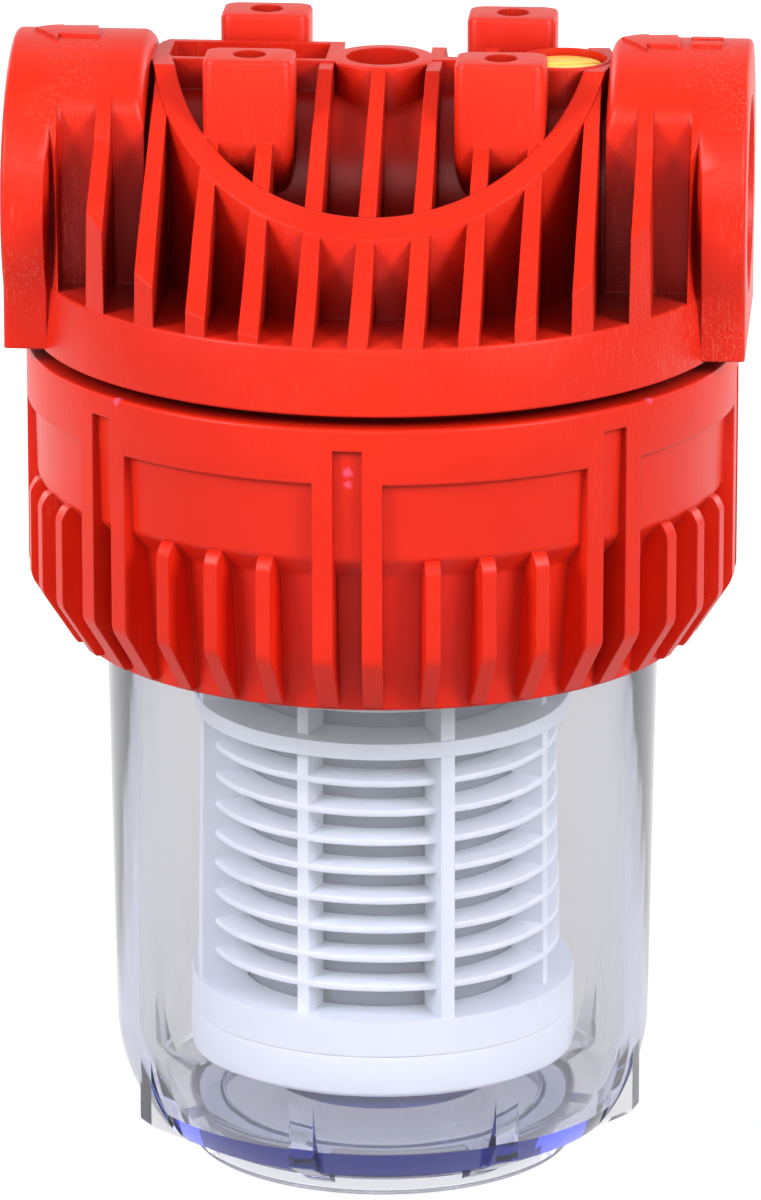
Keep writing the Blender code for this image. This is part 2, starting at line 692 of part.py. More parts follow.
def build_ribs(tools):
    """Ribs under the sloping roof, and the curved wall that runs through them."""
    inner = RIBS_PER_SIDE - PORT_RIBS
    roof_ribs = range(-inner, inner + 1)
    port_ribs = [side * (inner + step) for side in (-1, 1)
                 for step in range(1, PORT_RIBS + 1)]
    base = PLATE_Z - 2 * EMBED
    reach = PORT_SPAN / 2
    section = [(WALL_R - WALL_T, BEAM_Z), (WALL_R, BEAM_Z),
               (WALL_R + WALL_DRAFT, base), (WALL_R - WALL_T, base)]
    wall = turned("curved_wall", section, LARGE_STEPS, tools, ring=True)
    combine(wall, "INTERSECT", prism("wall_roof", roof_outline(WALL_PROUD),
                                     -reach, reach, "X", tools))
    return [rib_group("roof_ribs", roof_ribs, roof_outline(), tools),
            rib_group("port_ribs", port_ribs, roof_outline(over_port=True), tools),
            wall]


def build_port(name, side, tools):
    """Port barrel: narrow between the ribs, full width with straight sides at its face."""
    face_x = PORT_SPAN / 2
    pad_x = face_x - PORT_PAD_W
    along, across = PORT_END_BEVEL
    profile = [(0.0, face_x),
               (PORT_R - PORT_FACE_BEVEL, face_x),
               (PORT_R, face_x - PORT_FACE_BEVEL),
               (PORT_R, PORT_INNER_X + along),
               (PORT_R - across, PORT_INNER_X),
               (0.0, PORT_INNER_X)]
    barrel = turned_along_x(name + "_barrel", profile, side, PORT_STEPS, tools)
    wide = PORT_R + EMBED
    step_x = pad_x + SEAT_GAP
    plan = [(side * x, y) for x, y in (
        (PORT_INNER_X - EMBED, -PORT_CORE_HALF), (step_x, -PORT_CORE_HALF), (step_x, -wide),
        (face_x + EMBED, -wide), (face_x + EMBED, wide), (step_x, wide),
        (step_x, PORT_CORE_HALF), (PORT_INNER_X - EMBED, PORT_CORE_HALF))]
    combine(barrel, "INTERSECT", prism(name + "_plan", plan, PLATE_Z - EMBED, PORT_Z + wide,
                                       "Z", tools))
    half = PORT_R - SEAT_GAP
    ends = sorted((side * pad_x, side * (face_x - PORT_FACE_BEVEL)))
    pad = prism(name + "_pad", rectangle(-half, half, FLANGE_Z + PORT_LIFT, PORT_Z - EMBED),
                *ends, "X", tools)
    return barrel, pad


def build_head(parts, tools, material):
    """Moulded head: drum, skirt, ports, ribs, posts, beam and bosses in one piece."""
    profile = [(0.0, PLATE_Z),
               (FLANGE_TOP_R, PLATE_Z),
               (FLANGE_R, FLANGE_Z),
               (SKIRT_R, FLANGE_Z),
               (SKIRT_R, SKIRT_LOW_Z),
               (0.0, SKIRT_LOW_Z)]
    head = turned("head", profile, LARGE_STEPS, parts)
    for tool in head_forms(tools):
        combine(head, "UNION", tool)
        weld(head)
    for tool in head_cutters(tools):
        combine(head, "DIFFERENCE", tool)
        weld(head)
    finish(head, material)


def head_forms(tools):
    """What stands on the drum: ports, tube, ribs, wall, posts, beam, web and bosses."""
    forms = [*build_port("outlet", -1, tools), *build_port("inlet", 1, tools)]
    reach = PORT_INNER_X + EMBED
    base = PLATE_Z - EMBED
    forms.append(prism("water_tube", arch(TUBE_R, base), -reach, reach, "X", tools))
    forms += build_ribs(tools)
    bm = bmesh.new()
    for side_x in (-1, 1):
        for side_y in (-1, 1):
            outline = rounded_rectangle(side_x * POST_X, side_y * POST_Y,
                                        POST_W, POST_D, POST_CORNER)
            add_prism(bm, outline, base, POST_Z, "Z")
    forms.append(place_bmesh("posts", bm, tools))
    forms.append(prism("beam", rectangle(BEAM_LEFT_X, BEAM_RIGHT_X, BEAM_FRONT_Y, BEAM_BACK_Y),
                       PORT_Z, BEAM_Z, "Z", tools))
    forms.append(prism("web", rectangle(0.0, VENT_X, -WEB_T / 2, WEB_T / 2),
                       PORT_Z, BEAM_Z - SEAT_GAP, "Z", tools))
    forms.append(rod("boss", BOSS_R, (0, 0, PORT_Z), (0, 0, BEAM_Z + SEAT_GAP),
                     SMALL_STEPS, tools))
    forms.append(rod("vent_boss", VENT_BOSS_R, (VENT_X, 0, PORT_Z),
                     (VENT_X, 0, BEAM_Z + SEAT_GAP), SMALL_STEPS, tools))
    return forms


def head_cutters(tools):
    """Ports, water ways, screw holes, pocket and vent seat."""
    face_x = PORT_SPAN / 2
    above = BEAM_Z + EMBED
    below = SKIRT_LOW_Z - EMBED
    outlet_low = SPIGOT_Z - LOCATOR_H
    chamber = [(0.0, outlet_low),
               (LOCATOR_R, outlet_low),
               (LOCATOR_R, SPIGOT_Z),
               (SPIGOT_R, SPIGOT_Z),
               (SPIGOT_R, CEILING_Z),
               (CHAMBER_R, CEILING_Z),
               (CHAMBER_R, RIM_SEAT_Z),
               (SKIRT_BORE_R, RIM_SEAT_Z),
               (SKIRT_BORE_R, below),
               (0.0, below)]
    cutters = [turned("chamber", chamber, LARGE_STEPS, tools)]
    for side, name, end_x in ((-1, "outlet_way", 0.0), (1, "inlet_way", INLET_END_X)):
        way = [(0.0, face_x + EMBED),
               (SOCKET_LEAD_R, face_x + EMBED),
               (SOCKET_LEAD_R, face_x - SOCKET_LEAD_D),
               (SOCKET_R, face_x - SOCKET_LEAD_D),
               (SOCKET_R, face_x - SOCKET_DEPTH),
               (PASSAGE_R, face_x - SOCKET_DEPTH),
               (PASSAGE_R, end_x),
               (0.0, end_x)]
        cutters.append(turned_along_x(name, way, side, PORT_STEPS, tools))
    cutters.append(rod("inlet_drop", INLET_DROP_R, (INLET_DROP_X, 0, CEILING_Z - EMBED),
                       (INLET_DROP_X, 0, PORT_Z), SMALL_STEPS, tools))
    cutters.append(rod("outlet_rise", OUTLET_R, (0, 0, SPIGOT_Z - LOCATOR_H - EMBED),
                       (0, 0, PORT_Z + PASSAGE_R / 2), SMALL_STEPS, tools))
    bm = bmesh.new()
    for side_x in (-1, 1):
        for side_y in (-1, 1):
            x, y = side_x * POST_X, side_y * POST_Y
            add_rod(bm, SCREW_R, (x, y, POST_Z - SCREW_DEPTH), (x, y, POST_Z + EMBED), 12)
    cutters.append(place_bmesh("screw_holes", bm, tools))
    cutters.append(rod("boss_hole", BOSS_HOLE_R, (0, 0, BEAM_Z - BOSS_HOLE_DEPTH),
                       (0, 0, above), SMALL_STEPS, tools))
    pocket = rectangle(BEAM_LEFT_X + BEAM_WALL, -BOSS_R - BEAM_WALL / 2,
                       BEAM_FRONT_Y + BEAM_WALL, BEAM_BACK_Y - BEAM_WALL)
    cutters.append(prism("pocket", pocket, BEAM_Z - POCKET_DEPTH, above, "Z", tools))
    seat, shank_low = vent_heights()
    cutters.append(rod("vent_seat", VENT_HEAD_R + SEAT_GAP, (VENT_X, 0, seat),
                       (VENT_X, 0, above), SMALL_STEPS, tools))
    cutters.append(rod("vent_bore", VENT_SHANK_R + THREAD_GAP,
                       (VENT_X, 0, shank_low - SLIDE_GAP),
                       (VENT_X, 0, seat + SEAT_GAP), SMALL_STEPS, tools))
    cutters.append(rod("vent_bleed", VENT_BLEED_R, (VENT_X, 0, PORT_Z),
                       (VENT_X, 0, shank_low), 8, tools))
    return cutters


def vent_heights():
    """Height of the vent's seal seat and of the end of its shank."""
    head_top = BEAM_Z - VENT_BELOW_RIM
    head_low = head_top - VENT_HEAD_H
    seat = head_low - 2 * VENT_RING_R - 2 * SEAT_GAP
    return seat, head_low - VENT_SHANK_L


def build_vent(parts, tools, materials):
    """Slotted brass vent screw and the seal under its head."""
    seat, shank_low = vent_heights()
    head_top = BEAM_Z - VENT_BELOW_RIM
    head_low = head_top - VENT_HEAD_H
    step_r = VENT_HEAD_R - VENT_SLOT_W / 2
    step_z = head_top - VENT_SLOT_D / 3
    profile = [(0.0, head_top), (step_r, head_top), (VENT_HEAD_R, step_z),
               (VENT_HEAD_R, head_low), (VENT_SHANK_R, head_low),
               (VENT_SHANK_R, shank_low), (0.0, shank_low)]
    plug = turned("vent_screw", profile, SMALL_STEPS, parts)
    slot = prism("vent_slot", rectangle(-VENT_HEAD_R - EMBED, VENT_HEAD_R + EMBED,
                                        -VENT_SLOT_W / 2, VENT_SLOT_W / 2),
                 head_top - VENT_SLOT_D, head_top + EMBED, "Z", tools)
    slot.data.transform(Matrix.Rotation(math.radians(VENT_SLOT_ANGLE), 4, "Z"))
    combine(plug, "DIFFERENCE", slot)
    finish(plug, materials["brass"])
    ring_r = VENT_SHANK_R + SEAT_GAP + VENT_RING_R
    ring = torus("vent_o_ring", ring_r, VENT_RING_R, seat + SEAT_GAP + VENT_RING_R,
                 SMALL_STEPS, parts)
    finish(ring, materials["rubber"], 80.0)
    for obj in (plug, ring):
        obj.data.transform(Matrix.Translation((0, 0, -head_top)))
        obj.location = (VENT_X, 0.0, head_top)


def main():
    """Build the filter."""
    clear_scene()
    parts = new_collection("water_filter")
    tools = new_collection("shaping")
    materials = {
        "red": principled("red_moulding", (0.78, 0.025, 0.012), 0.36),
        "clear": principled("clear_bowl", (0.80, 0.80, 0.88), 0.05, alpha=0.35),
        "white": principled("white_moulding", (0.86, 0.87, 0.88), 0.45),
        "mesh": principled("nylon_mesh", (0.42, 0.45, 0.50), 0.60),
        "gasket": principled("soft_gasket", (0.70, 0.70, 0.68), 0.70),
        "rubber": principled("black_rubber", (0.02, 0.02, 0.02), 0.60),
        "brass": principled("turned_brass", (0.85, 0.62, 0.25), 0.25, metallic=1.0),
    }
    build_bowl(parts, tools, materials["clear"])
    build_seal(parts, materials["rubber"])
    build_caps(parts, materials)
    build_cage(parts, tools, materials["white"])
    build_mesh_screen(parts, materials["mesh"])
    build_nut(parts, tools, materials["red"])
    build_head(parts, tools, materials["red"])
    build_vent(parts, tools, materials)


main()
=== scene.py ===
# %% [markdown]
# # A cartridge water filter
#
# The real thing is a ribbed red head with two pipe ports, a clear bowl, a red ring nut that holds the bowl
# up to the head, and a white cartridge that stands inside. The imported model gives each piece's place and
# motion. This lesson rebuilds the visible skins at a finer grain, dresses them in procedural plastics and
# photographs them in a white studio.

# %% Load the frame
import math

import bmesh
import bpy
from mathutils import Matrix, Vector


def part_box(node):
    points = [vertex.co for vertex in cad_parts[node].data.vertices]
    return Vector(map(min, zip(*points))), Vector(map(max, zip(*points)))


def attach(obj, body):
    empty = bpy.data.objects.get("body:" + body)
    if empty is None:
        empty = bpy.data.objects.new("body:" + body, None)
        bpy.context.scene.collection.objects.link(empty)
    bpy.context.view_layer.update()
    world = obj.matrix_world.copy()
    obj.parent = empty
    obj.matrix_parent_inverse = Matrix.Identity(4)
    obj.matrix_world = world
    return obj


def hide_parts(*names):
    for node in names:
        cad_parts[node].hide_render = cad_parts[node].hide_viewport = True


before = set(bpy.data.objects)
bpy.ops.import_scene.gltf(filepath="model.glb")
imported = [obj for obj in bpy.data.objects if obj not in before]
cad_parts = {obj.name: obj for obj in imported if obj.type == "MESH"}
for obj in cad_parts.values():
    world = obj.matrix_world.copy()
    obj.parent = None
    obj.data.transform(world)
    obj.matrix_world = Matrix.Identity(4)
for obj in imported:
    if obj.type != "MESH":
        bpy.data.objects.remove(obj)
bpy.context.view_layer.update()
print("pieces in the frame:", sorted(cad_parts))

# %% [markdown]
# ## Units and places
#
# A moulding is drawn in millimetres, so the outlines below are too, and one factor turns them into metres.
# Places come from the frame wherever it has them. A piece that starts from its node's box still stands in
# its place when the housing gets another size.

# %% Measure the nodes in millimetres
MM = 0.001


def span(node):
    """Lowest and highest corner of a node, in millimetres."""
    low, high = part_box(node)
    return low / MM, high / MM


head_low, head_high = span("head")
nut_low, nut_high = span("clamp_nut")
bowl_high = span("bowl")[1]
cap_low, cap_high = span("lower_end_cap")
top_cap_high = span("upper_end_cap")[1]
vent_low, vent_high = span("vent_screw")
VENT_X = (vent_low.x + vent_high.x) / 2

# %% [markdown]
# ## The camera
#
# A catalogue picture is taken from far away with a long lens, so that upright lines stay upright. The
# camera stands about 1.6 m off, a little above and a little to the right, and looks at the middle of the
# filter.

# %% Place the camera
CAMERA_AWAY = 1590.8
CAMERA_RISE = math.radians(16.79)
CAMERA_TURN = math.radians(4.17)
LOOK_AT_Z = 102.56
FOCAL_LENGTH = 263.1
SENSOR_WIDTH = 36.0
SHIFT_X, SHIFT_Y = -0.0018, -0.0020
FARTHEST = 20.0

flat = math.cos(CAMERA_RISE)
towards_camera = Vector((math.sin(CAMERA_TURN) * flat, -math.cos(CAMERA_TURN) * flat,
                         math.sin(CAMERA_RISE)))
camera_data = bpy.data.cameras.new("camera")
camera_data.lens = FOCAL_LENGTH
camera_data.sensor_width = SENSOR_WIDTH
camera_data.shift_x = SHIFT_X
camera_data.shift_y = SHIFT_Y
camera_data.clip_end = FARTHEST
camera = bpy.data.objects.new("camera", camera_data)
camera.location = (Vector((0, 0, LOOK_AT_Z)) + towards_camera * CAMERA_AWAY) * MM
camera.rotation_euler = towards_camera.to_track_quat("Z", "Y").to_euler()
bpy.context.scene.collection.objects.link(camera)
bpy.context.scene.camera = camera
print("camera at", [round(value, 3) for value in camera.location])

# %% [markdown]
# ## Making shapes
#
# Nearly every face of a moulding is turned about an axis or pushed along one, because that is how the tool
# that shapes it is cut. Four helpers make such forms from outlines in millimetres: lathe turns one, push
# extrudes some, fins stands one upright at many angles, and skin stretches a surface over a row of outlines
# with equal numbers of points. Booleans then fuse and cut them. Bevel modifiers break on Boolean results,
# so the outlines carry the large radii, and the materials soften the small edges.

# %% Outlines
def arc(centre, radius, start, end, steps):
    """Points on an arc, angles in degrees."""
    angles = [math.radians(start + (end - start) * step / steps) for step in range(steps + 1)]
    return [(centre[0] + radius * math.cos(angle), centre[1] + radius * math.sin(angle))
            for angle in angles]


def soften(corners, steps=4):
    """Round the corners of a closed outline, given as (u, v) or (u, v, radius)."""
    outline = []
    for index, corner in enumerate(corners):
        here = Vector(corner[:2])
        if len(corner) < 3:
            outline.append(tuple(here))
            continue
        before = (Vector(corners[index - 1][:2]) - here).normalized()
        after = (Vector(corners[(index + 1) % len(corners)][:2]) - here).normalized()
        half = before.angle(after) / 2
        middle = here + (before + after).normalized() * (corner[2] / math.sin(half))
        reach = corner[2] / math.tan(half)
        first = here + before * reach - middle
        last = here + after * reach - middle
        sweep = first.angle_signed(last)
        for step in range(steps + 1):
            turn = Matrix.Rotation(-sweep * step / steps, 2)
            outline.append(tuple(middle + turn @ first))
    return outline


def box_outline(left, right, low, high):
    """Corners of a rectangle."""
    return [(left, low), (right, low), (right, high), (left, high)]


print("a rounded square has", len(soften([(0, 0, 1), (4, 0, 1), (4, 4, 1), (0, 4, 1)])), "points")

# %% Solids from outlines
SAME_POINT = 0.0005
LAY = {
    "X": lambda u, v, w: (w, u, v),
    "Y": lambda u, v, w: (u, w, v),
    "Z": lambda u, v, w: (u, v, w),
}


def solid(name, bm):
    """Close a bmesh drawn in millimetres into an object in metres."""
    bmesh.ops.remove_doubles(bm, verts=bm.verts, dist=SAME_POINT)
    bmesh.ops.recalc_face_normals(bm, faces=bm.faces)
    bmesh.ops.scale(bm, vec=(MM, MM, MM), verts=bm.verts)
    mesh = bpy.data.meshes.new(name)
    bm.to_mesh(mesh)
    bm.free()
    made = bpy.data.objects.new(name, mesh)
    bpy.context.scene.collection.objects.link(made)
    return made


def lathe(name, outline, steps, turn=None):
    """Turn a closed outline of (radius, height) about Z; turn then tips the result."""
    bm = bmesh.new()
    verts = [bm.verts.new((radius, 0.0, height)) for radius, height in outline]
    edges = [bm.edges.new((verts[index - 1], verts[index])) for index in range(len(verts))]
    bmesh.ops.spin(bm, geom=verts + edges, cent=(0, 0, 0), axis=(0, 0, 1), angle=math.tau,
                   steps=steps, use_merge=True)
    if turn:
        bmesh.ops.transform(bm, matrix=turn, verts=bm.verts)
    return solid(name, bm)


def stretch_over(bm, sections):
    """Skin a row of equal outlines, given as lists of 3-D points, and cap the ends."""
    rings = [[bm.verts.new(point) for point in section] for section in sections]
    for near, far in zip(rings, rings[1:]):
        for index in range(len(near)):
            bm.faces.new((near[index - 1], near[index], far[index], far[index - 1]))
    bm.faces.new(list(reversed(rings[0])))
    bm.faces.new(rings[-1])
    return [vert for ring in rings for vert in ring]


def skin(name, sections):
    """Make one skinned row of outlines as an object."""
    bm = bmesh.new()
    stretch_over(bm, sections)
    return solid(name, bm)


def push(name, outlines, axis="Z"):
    """Push outlines along an axis: each is (outline, from, to)."""
    bm = bmesh.new()
    for outline, start, end in outlines:
        stretch_over(bm, [[LAY[axis](u, v, w) for u, v in outline] for w in (start, end)])
    return solid(name, bm)


def fins(name, outline, width, angles):
    """Upright fins of (radius, height) round the axis, all of one width."""
    bm = bmesh.new()
    for angle in angles:
        sections = [[(side * width / 2, -radius, height) for radius, height in outline]
                    for side in (-1, 1)]
        verts = stretch_over(bm, sections)
        bmesh.ops.rotate(bm, verts=verts, cent=(0, 0, 0),
                         matrix=Matrix.Rotation(math.radians(angle), 3, "Z"))
    return solid(name, bm)


def along_x(side, height):
    """Tip a form turned about Z onto a port's axis."""
    return Matrix.Translation((0, 0, height)) @ Matrix.Rotation(side * math.pi / 2, 4, "Y")


print("outlines can be pushed along", sorted(LAY))

# %% Fusing, cutting and finishing
SHARP_ANGLE = 32.0


def weld(mesh, reach):
    """Close the hairline cracks that a Boolean leaves, reach in millimetres."""
    bm = bmesh.new()
    bm.from_mesh(mesh)
    bmesh.ops.remove_doubles(bm, verts=bm.verts, dist=reach * MM)
    bmesh.ops.dissolve_degenerate(bm, edges=bm.edges, dist=reach * MM)
    bm.to_mesh(mesh)
    bm.free()


def combine(piece, operation, *tools, reach=0.0):
    """Fuse, cut or keep the common part, then drop the tools."""
    for tool in tools:
        modifier = piece.modifiers.new("boolean", "BOOLEAN")
        modifier.operation = operation
        modifier.solver = "EXACT"
        modifier.object = tool
        graph = bpy.context.evaluated_depsgraph_get()
        mesh = bpy.data.meshes.new_from_object(piece.evaluated_get(graph))
        piece.modifiers.clear()
        if reach:
            weld(mesh, reach)
        used = [piece.data, tool.data]
        piece.data = mesh
        bpy.data.objects.remove(tool)
        for spent in used:
            bpy.data.meshes.remove(spent)
    return piece


def dress(piece, finish, body, node):
    """Shade a piece smooth, give it its material and body, and hide the node that it stands for."""
    mesh = piece.data
    mesh.materials.clear()
    mesh.materials.append(finish)
    mesh.shade_smooth()
    mesh.set_sharp_from_angle(angle=math.radians(SHARP_ANGLE))
    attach(piece, body)
    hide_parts(node)
    triangles = sum(len(polygon.vertices) - 2 for polygon in mesh.polygons)
    bm = bmesh.new()
    bm.from_mesh(mesh)
    open_edges = sum(1 for edge in bm.edges if len(edge.link_faces) != 2)
    bm.free()
    print(f"{piece.name}: {triangles} triangles, {open_edges} open edges")


# %% [markdown]
# ## Shader maths
#
# A material is a formula. Writing it as one needs a small class: it wraps a socket, and each operator adds
# the Math node that it names. Colours would turn grey in a Math node, so they go through Mix instead.

# %% A socket that Python can calculate with
EDGE_SAMPLES = 4


class Field:
    """An output socket of a material, with operators that add Math nodes."""

    def __init__(self, tree, socket):
        self.tree = tree
        self.socket = socket

    def node(self, kind, settings=None, **inputs):
        """Add any node: its settings first, then its sockets, by name or by _number."""
        made = self.tree.nodes.new(kind)
        for key, value in (settings or {}).items():
            setattr(made, key, value)
        for key, value in inputs.items():
            name = int(key[1:]) if key[0] == "_" else key.replace("_", " ")
            socket = made.inputs[name]
            if isinstance(value, Field):
                self.tree.links.new(value.socket, socket)
            else:
                socket.default_value = value
        return made

    def out(self, made, name=0):
        """Wrap one output of a node."""
        return Field(self.tree, made.outputs[name])

    def maths(self, operation, first, second=0.0, third=0.0):
        """Add one Math node."""
        return self.out(self.node("ShaderNodeMath", {"operation": operation},
                                  _0=first, _1=second, _2=third))

    def __add__(self, other):
        return self.maths("ADD", self, other)

    def __radd__(self, other):
        return self.maths("ADD", other, self)

    def __sub__(self, other):
        return self.maths("SUBTRACT", self, other)

    def __rsub__(self, other):
        return self.maths("SUBTRACT", other, self)

    def __mul__(self, other):
        return self.maths("MULTIPLY", self, other)

    def __rmul__(self, other):
        return self.maths("MULTIPLY", other, self)

    def __pow__(self, other):
        return self.maths("POWER", self, other)

    def between(self, low, high):
        """0 below low, 1 above high, and a smooth step between them."""
        made = self.node("ShaderNodeMapRange", {"interpolation_type": "SMOOTHSTEP"},
                         Value=self, From_Min=low, From_Max=high)
        return self.out(made)

    def noise(self, where, scale, detail=2.0, roughness=0.5):
        """Cloudy noise, 0 to 1, at so many lumps a metre."""
        return self.out(self.node("ShaderNodeTexNoise", Vector=where, Scale=scale,
                                  Detail=detail, Roughness=roughness), "Fac")

    def mix(self, factor, first, second):
        """Blend two colours."""
        made = self.node("ShaderNodeMix", {"data_type": "RGBA"}, _0=factor, _6=first, _7=second)
        return self.out(made, 2)

    def stretch(self, where, scale):
        """Scale a place before it is looked up, which stretches the pattern."""
        return self.out(self.node("ShaderNodeMapping", Vector=where, Scale=scale), "Vector")


def new_material(name):
    """An empty Principled material: its formula, its shader and the object's own coordinates."""
    material = bpy.data.materials.new(name)
    material.use_nodes = True
    tree = material.node_tree
    formula = Field(tree, None)
    shader = tree.nodes["Principled BSDF"]
    place = formula.out(formula.node("ShaderNodeTexCoord"), "Object")
    return material, formula, shader, place


def plug(formula, value, socket):
    """Link a field to a shader's socket."""
    formula.tree.links.new(value.socket, socket)


def relief(formula, height, distance, strength, soft_edge=0.0):
    """Turn a height field into a normal, on edges rounded by soft_edge."""
    inputs = {"Height": height, "Distance": distance, "Strength": strength}
    if soft_edge:
        bevel = formula.node("ShaderNodeBevel", {"samples": EDGE_SAMPLES}, Radius=soft_edge)
        inputs["Normal"] = formula.out(bevel)
    return formula.out(formula.node("ShaderNodeBump", **inputs))


# %% [markdown]
# ## Red moulded plastic
#
# The head and the nut are coloured polypropylene. It is a deep, even red with a satin skin: the mould's
# fine spark-eroded grain blurs reflections, and handling leaves faint pale scuffs, most of them on the
# ports, which stand out furthest. One formula does it: large noise shifts the colour a hair, fine noise
# makes the grain, and a stretched noise that is cut off high leaves thin scuffs among specks. Little light
# reaches the slots between the ribs, so an Ambient Occlusion node finds them and paints shade there: the
# base colour turns a far deeper red. The pale pink spots are gate marks, where the plastic ran into the
# mould.

# %% Make the red plastic
RED = (0.82, 0.024, 0.006, 1.0)
RED_DEEP = (0.74, 0.018, 0.005, 1.0)
# Painted shade: the far deeper red that the slots between the ribs get.
RED_PAINTED_SLOT_SHADE = (0.20, 0.0015, 0.0008, 1.0)
RED_SCUFF = (0.90, 0.20, 0.16, 1.0)
GATE_PINK = (0.90, 0.10, 0.19, 1.0)
EDGE_SOFTNESS = 0.00045
SLOT_SHADE_SAMPLES = 3
PORTS_FROM, PORTS_TO = 0.036, 0.060
HEAD_GATES = [(-32.8, -35.2, 191.0, 1.0), (-0.8, -0.9, 197.5, 2.2)]
NUT_GATES = [(-1.5, -62.5, 143.8, 0.8), (-1.5, -62.5, 141.8, 0.7), (-43.0, -46.6, 151.6, 0.9),
             (49.4, -39.8, 151.6, 0.7)]


def red_plastic(name, scuffs, slot_shade_reach, gates):
    """Satin red moulding with painted shade in its slots; the shade's reach and the gates' x, y, z and
    radius are in millimetres.
    """
    material, formula, shader, place = new_material(name)
    cloud = formula.noise(place, 28.0, 3.0)
    grain = formula.noise(place, 2600.0, 2.0)
    lines = formula.noise(formula.stretch(place, (1.0, 1.0, 0.10)), 2200.0, 2.0, 0.6)
    patches = formula.noise(place, 50.0, 2.0).between(0.40, 0.62)
    specks = formula.noise(place, 3200.0, 1.0)
    parts = formula.node("ShaderNodeSeparateXYZ", Vector=place)
    outward = formula.maths("ABSOLUTE", formula.out(parts, "X")).between(PORTS_FROM, PORTS_TO)
    worn = patches * (0.25 + 0.75 * outward) * scuffs
    scuff = formula.maths("MAXIMUM", lines.between(0.54, 0.70), specks.between(0.56, 0.70)) * worn
    skin_red = formula.mix(cloud.between(0.25, 0.75), RED_DEEP, RED)
    # Painted shade: Ambient Occlusion finds the slots between the ribs and darkens the base colour there.
    openness = formula.out(formula.node("ShaderNodeAmbientOcclusion", {"samples": SLOT_SHADE_SAMPLES},
                                        Distance=slot_shade_reach * MM), "AO")
    body = formula.mix(openness.between(0.11, 0.60), RED_PAINTED_SLOT_SHADE, skin_red)
    body = formula.mix(scuff, body, RED_SCUFF)
    for *centre, radius in gates:
        away = formula.out(formula.node("ShaderNodeVectorMath", {"operation": "DISTANCE"},
                                        _0=place, _1=[value * MM for value in centre]), "Value")
        ragged = away + 0.0012 * formula.noise(place, 900.0, 2.0)
        body = formula.mix(1.0 - ragged.between(radius * MM, (radius + 1.0) * MM), body, GATE_PINK)
    plug(formula, body, shader.inputs["Base Color"])
    plug(formula, 0.33 + 0.10 * cloud + 0.20 * scuff, shader.inputs["Roughness"])
    shader.inputs["IOR"].default_value = 1.49
    shader.inputs["Specular IOR Level"].default_value = 0.24
    normal = relief(formula, grain + 2.0 * scuff, 0.00002, 0.5, EDGE_SOFTNESS)
    plug(formula, normal, shader.inputs["Normal"])
    return material


head_red = red_plastic("head_red", scuffs=0.34, slot_shade_reach=20.0, gates=HEAD_GATES)
nut_red = red_plastic("nut_red", scuffs=0.16, slot_shade_reach=6.0, gates=NUT_GATES)
print("red plastics:", head_red.name, nut_red.name)

# %% [markdown]
# ## Clear plastic
#
# The bowl is a thick clear copolymer. Its walls look grey, so Base Color takes a little light at every
# surface. Its thick base looks blue, because the plastic swallows some red and green on every centimetre of
# the way, and Volume Absorption does that. Lamps can't shine through a refracting surface, so the shadow
# rays alone get a plain transparent shader.

# %% Make the clear plastic
CLEAR_IOR = 1.50
CLEAR_SHARE = 0.97
CLEAR_GREY = (0.865, 0.85, 0.76, 1.0)
SHADOW_GREY = (0.84, 0.84, 0.87, 1.0)
ABSORPTION = (0.08, 0.15, 0.72, 1.0)
ABSORPTION_DENSITY = 50.0


def clear_plastic():
    """Clear moulding with blue depth."""
    material, formula, shader, place = new_material("clear_plastic")
    flow = formula.noise(formula.stretch(place, (1.0, 1.0, 0.25)), 70.0, 2.0)
    shader.inputs["Base Color"].default_value = CLEAR_GREY
    shader.inputs["Transmission Weight"].default_value = CLEAR_SHARE
    shader.inputs["IOR"].default_value = CLEAR_IOR
    plug(formula, 0.015 + 0.03 * flow, shader.inputs["Roughness"])
    plug(formula, relief(formula, flow, 0.0004, 0.25), shader.inputs["Normal"])
    is_shadow = formula.out(formula.node("ShaderNodeLightPath"), "Is Shadow Ray")
    passing = formula.node("ShaderNodeBsdfTransparent", Color=SHADOW_GREY)
    switch = formula.node("ShaderNodeMixShader", _0=is_shadow)
    depth = formula.node("ShaderNodeVolumeAbsorption", Color=ABSORPTION,
                         Density=ABSORPTION_DENSITY)
    links = formula.tree.links
    links.new(shader.outputs[0], switch.inputs[1])
    links.new(passing.outputs[0], switch.inputs[2])
    output = formula.tree.nodes["Material Output"]
    links.new(switch.outputs[0], output.inputs["Surface"])
    links.new(depth.outputs[0], output.inputs["Volume"])
    return material


bowl_clear = clear_plastic()
print("clear plastic:", bowl_clear.name)

# %% [markdown]
# ## White plastic, nylon and the small parts
#
# The cartridge's cage is plain white polypropylene, a touch cool. Behind it lies a fine nylon cloth that
# reads as grey: two crossed waves make its threads. The vent screw is turned brass, so rings round its own
# axis break up its shine. Gaskets and O-rings lie hidden, so they keep the frame's meshes and only get a
# rubber.

# %% Make the other materials
WHITE_LOW, WHITE_HIGH = (0.74, 0.78, 0.82, 1.0), (0.80, 0.83, 0.86, 1.0)
CLOTH_LOW, CLOTH_HIGH = (0.24, 0.27, 0.31, 1.0), (0.38, 0.41, 0.46, 1.0)
BRASS_LOW, BRASS_HIGH = (0.98, 0.70, 0.10, 1.0), (1.0, 0.84, 0.22, 1.0)
SEAL_BLACK = (0.02, 0.02, 0.02, 1.0)
GASKET_GREY = (0.62, 0.62, 0.60, 1.0)
DUST = 0.05
THREADS_PER_MM, CLOTH_R = 3.2, 25.0
LATHE_RING = 0.00035
FINE_EDGE = 0.0002


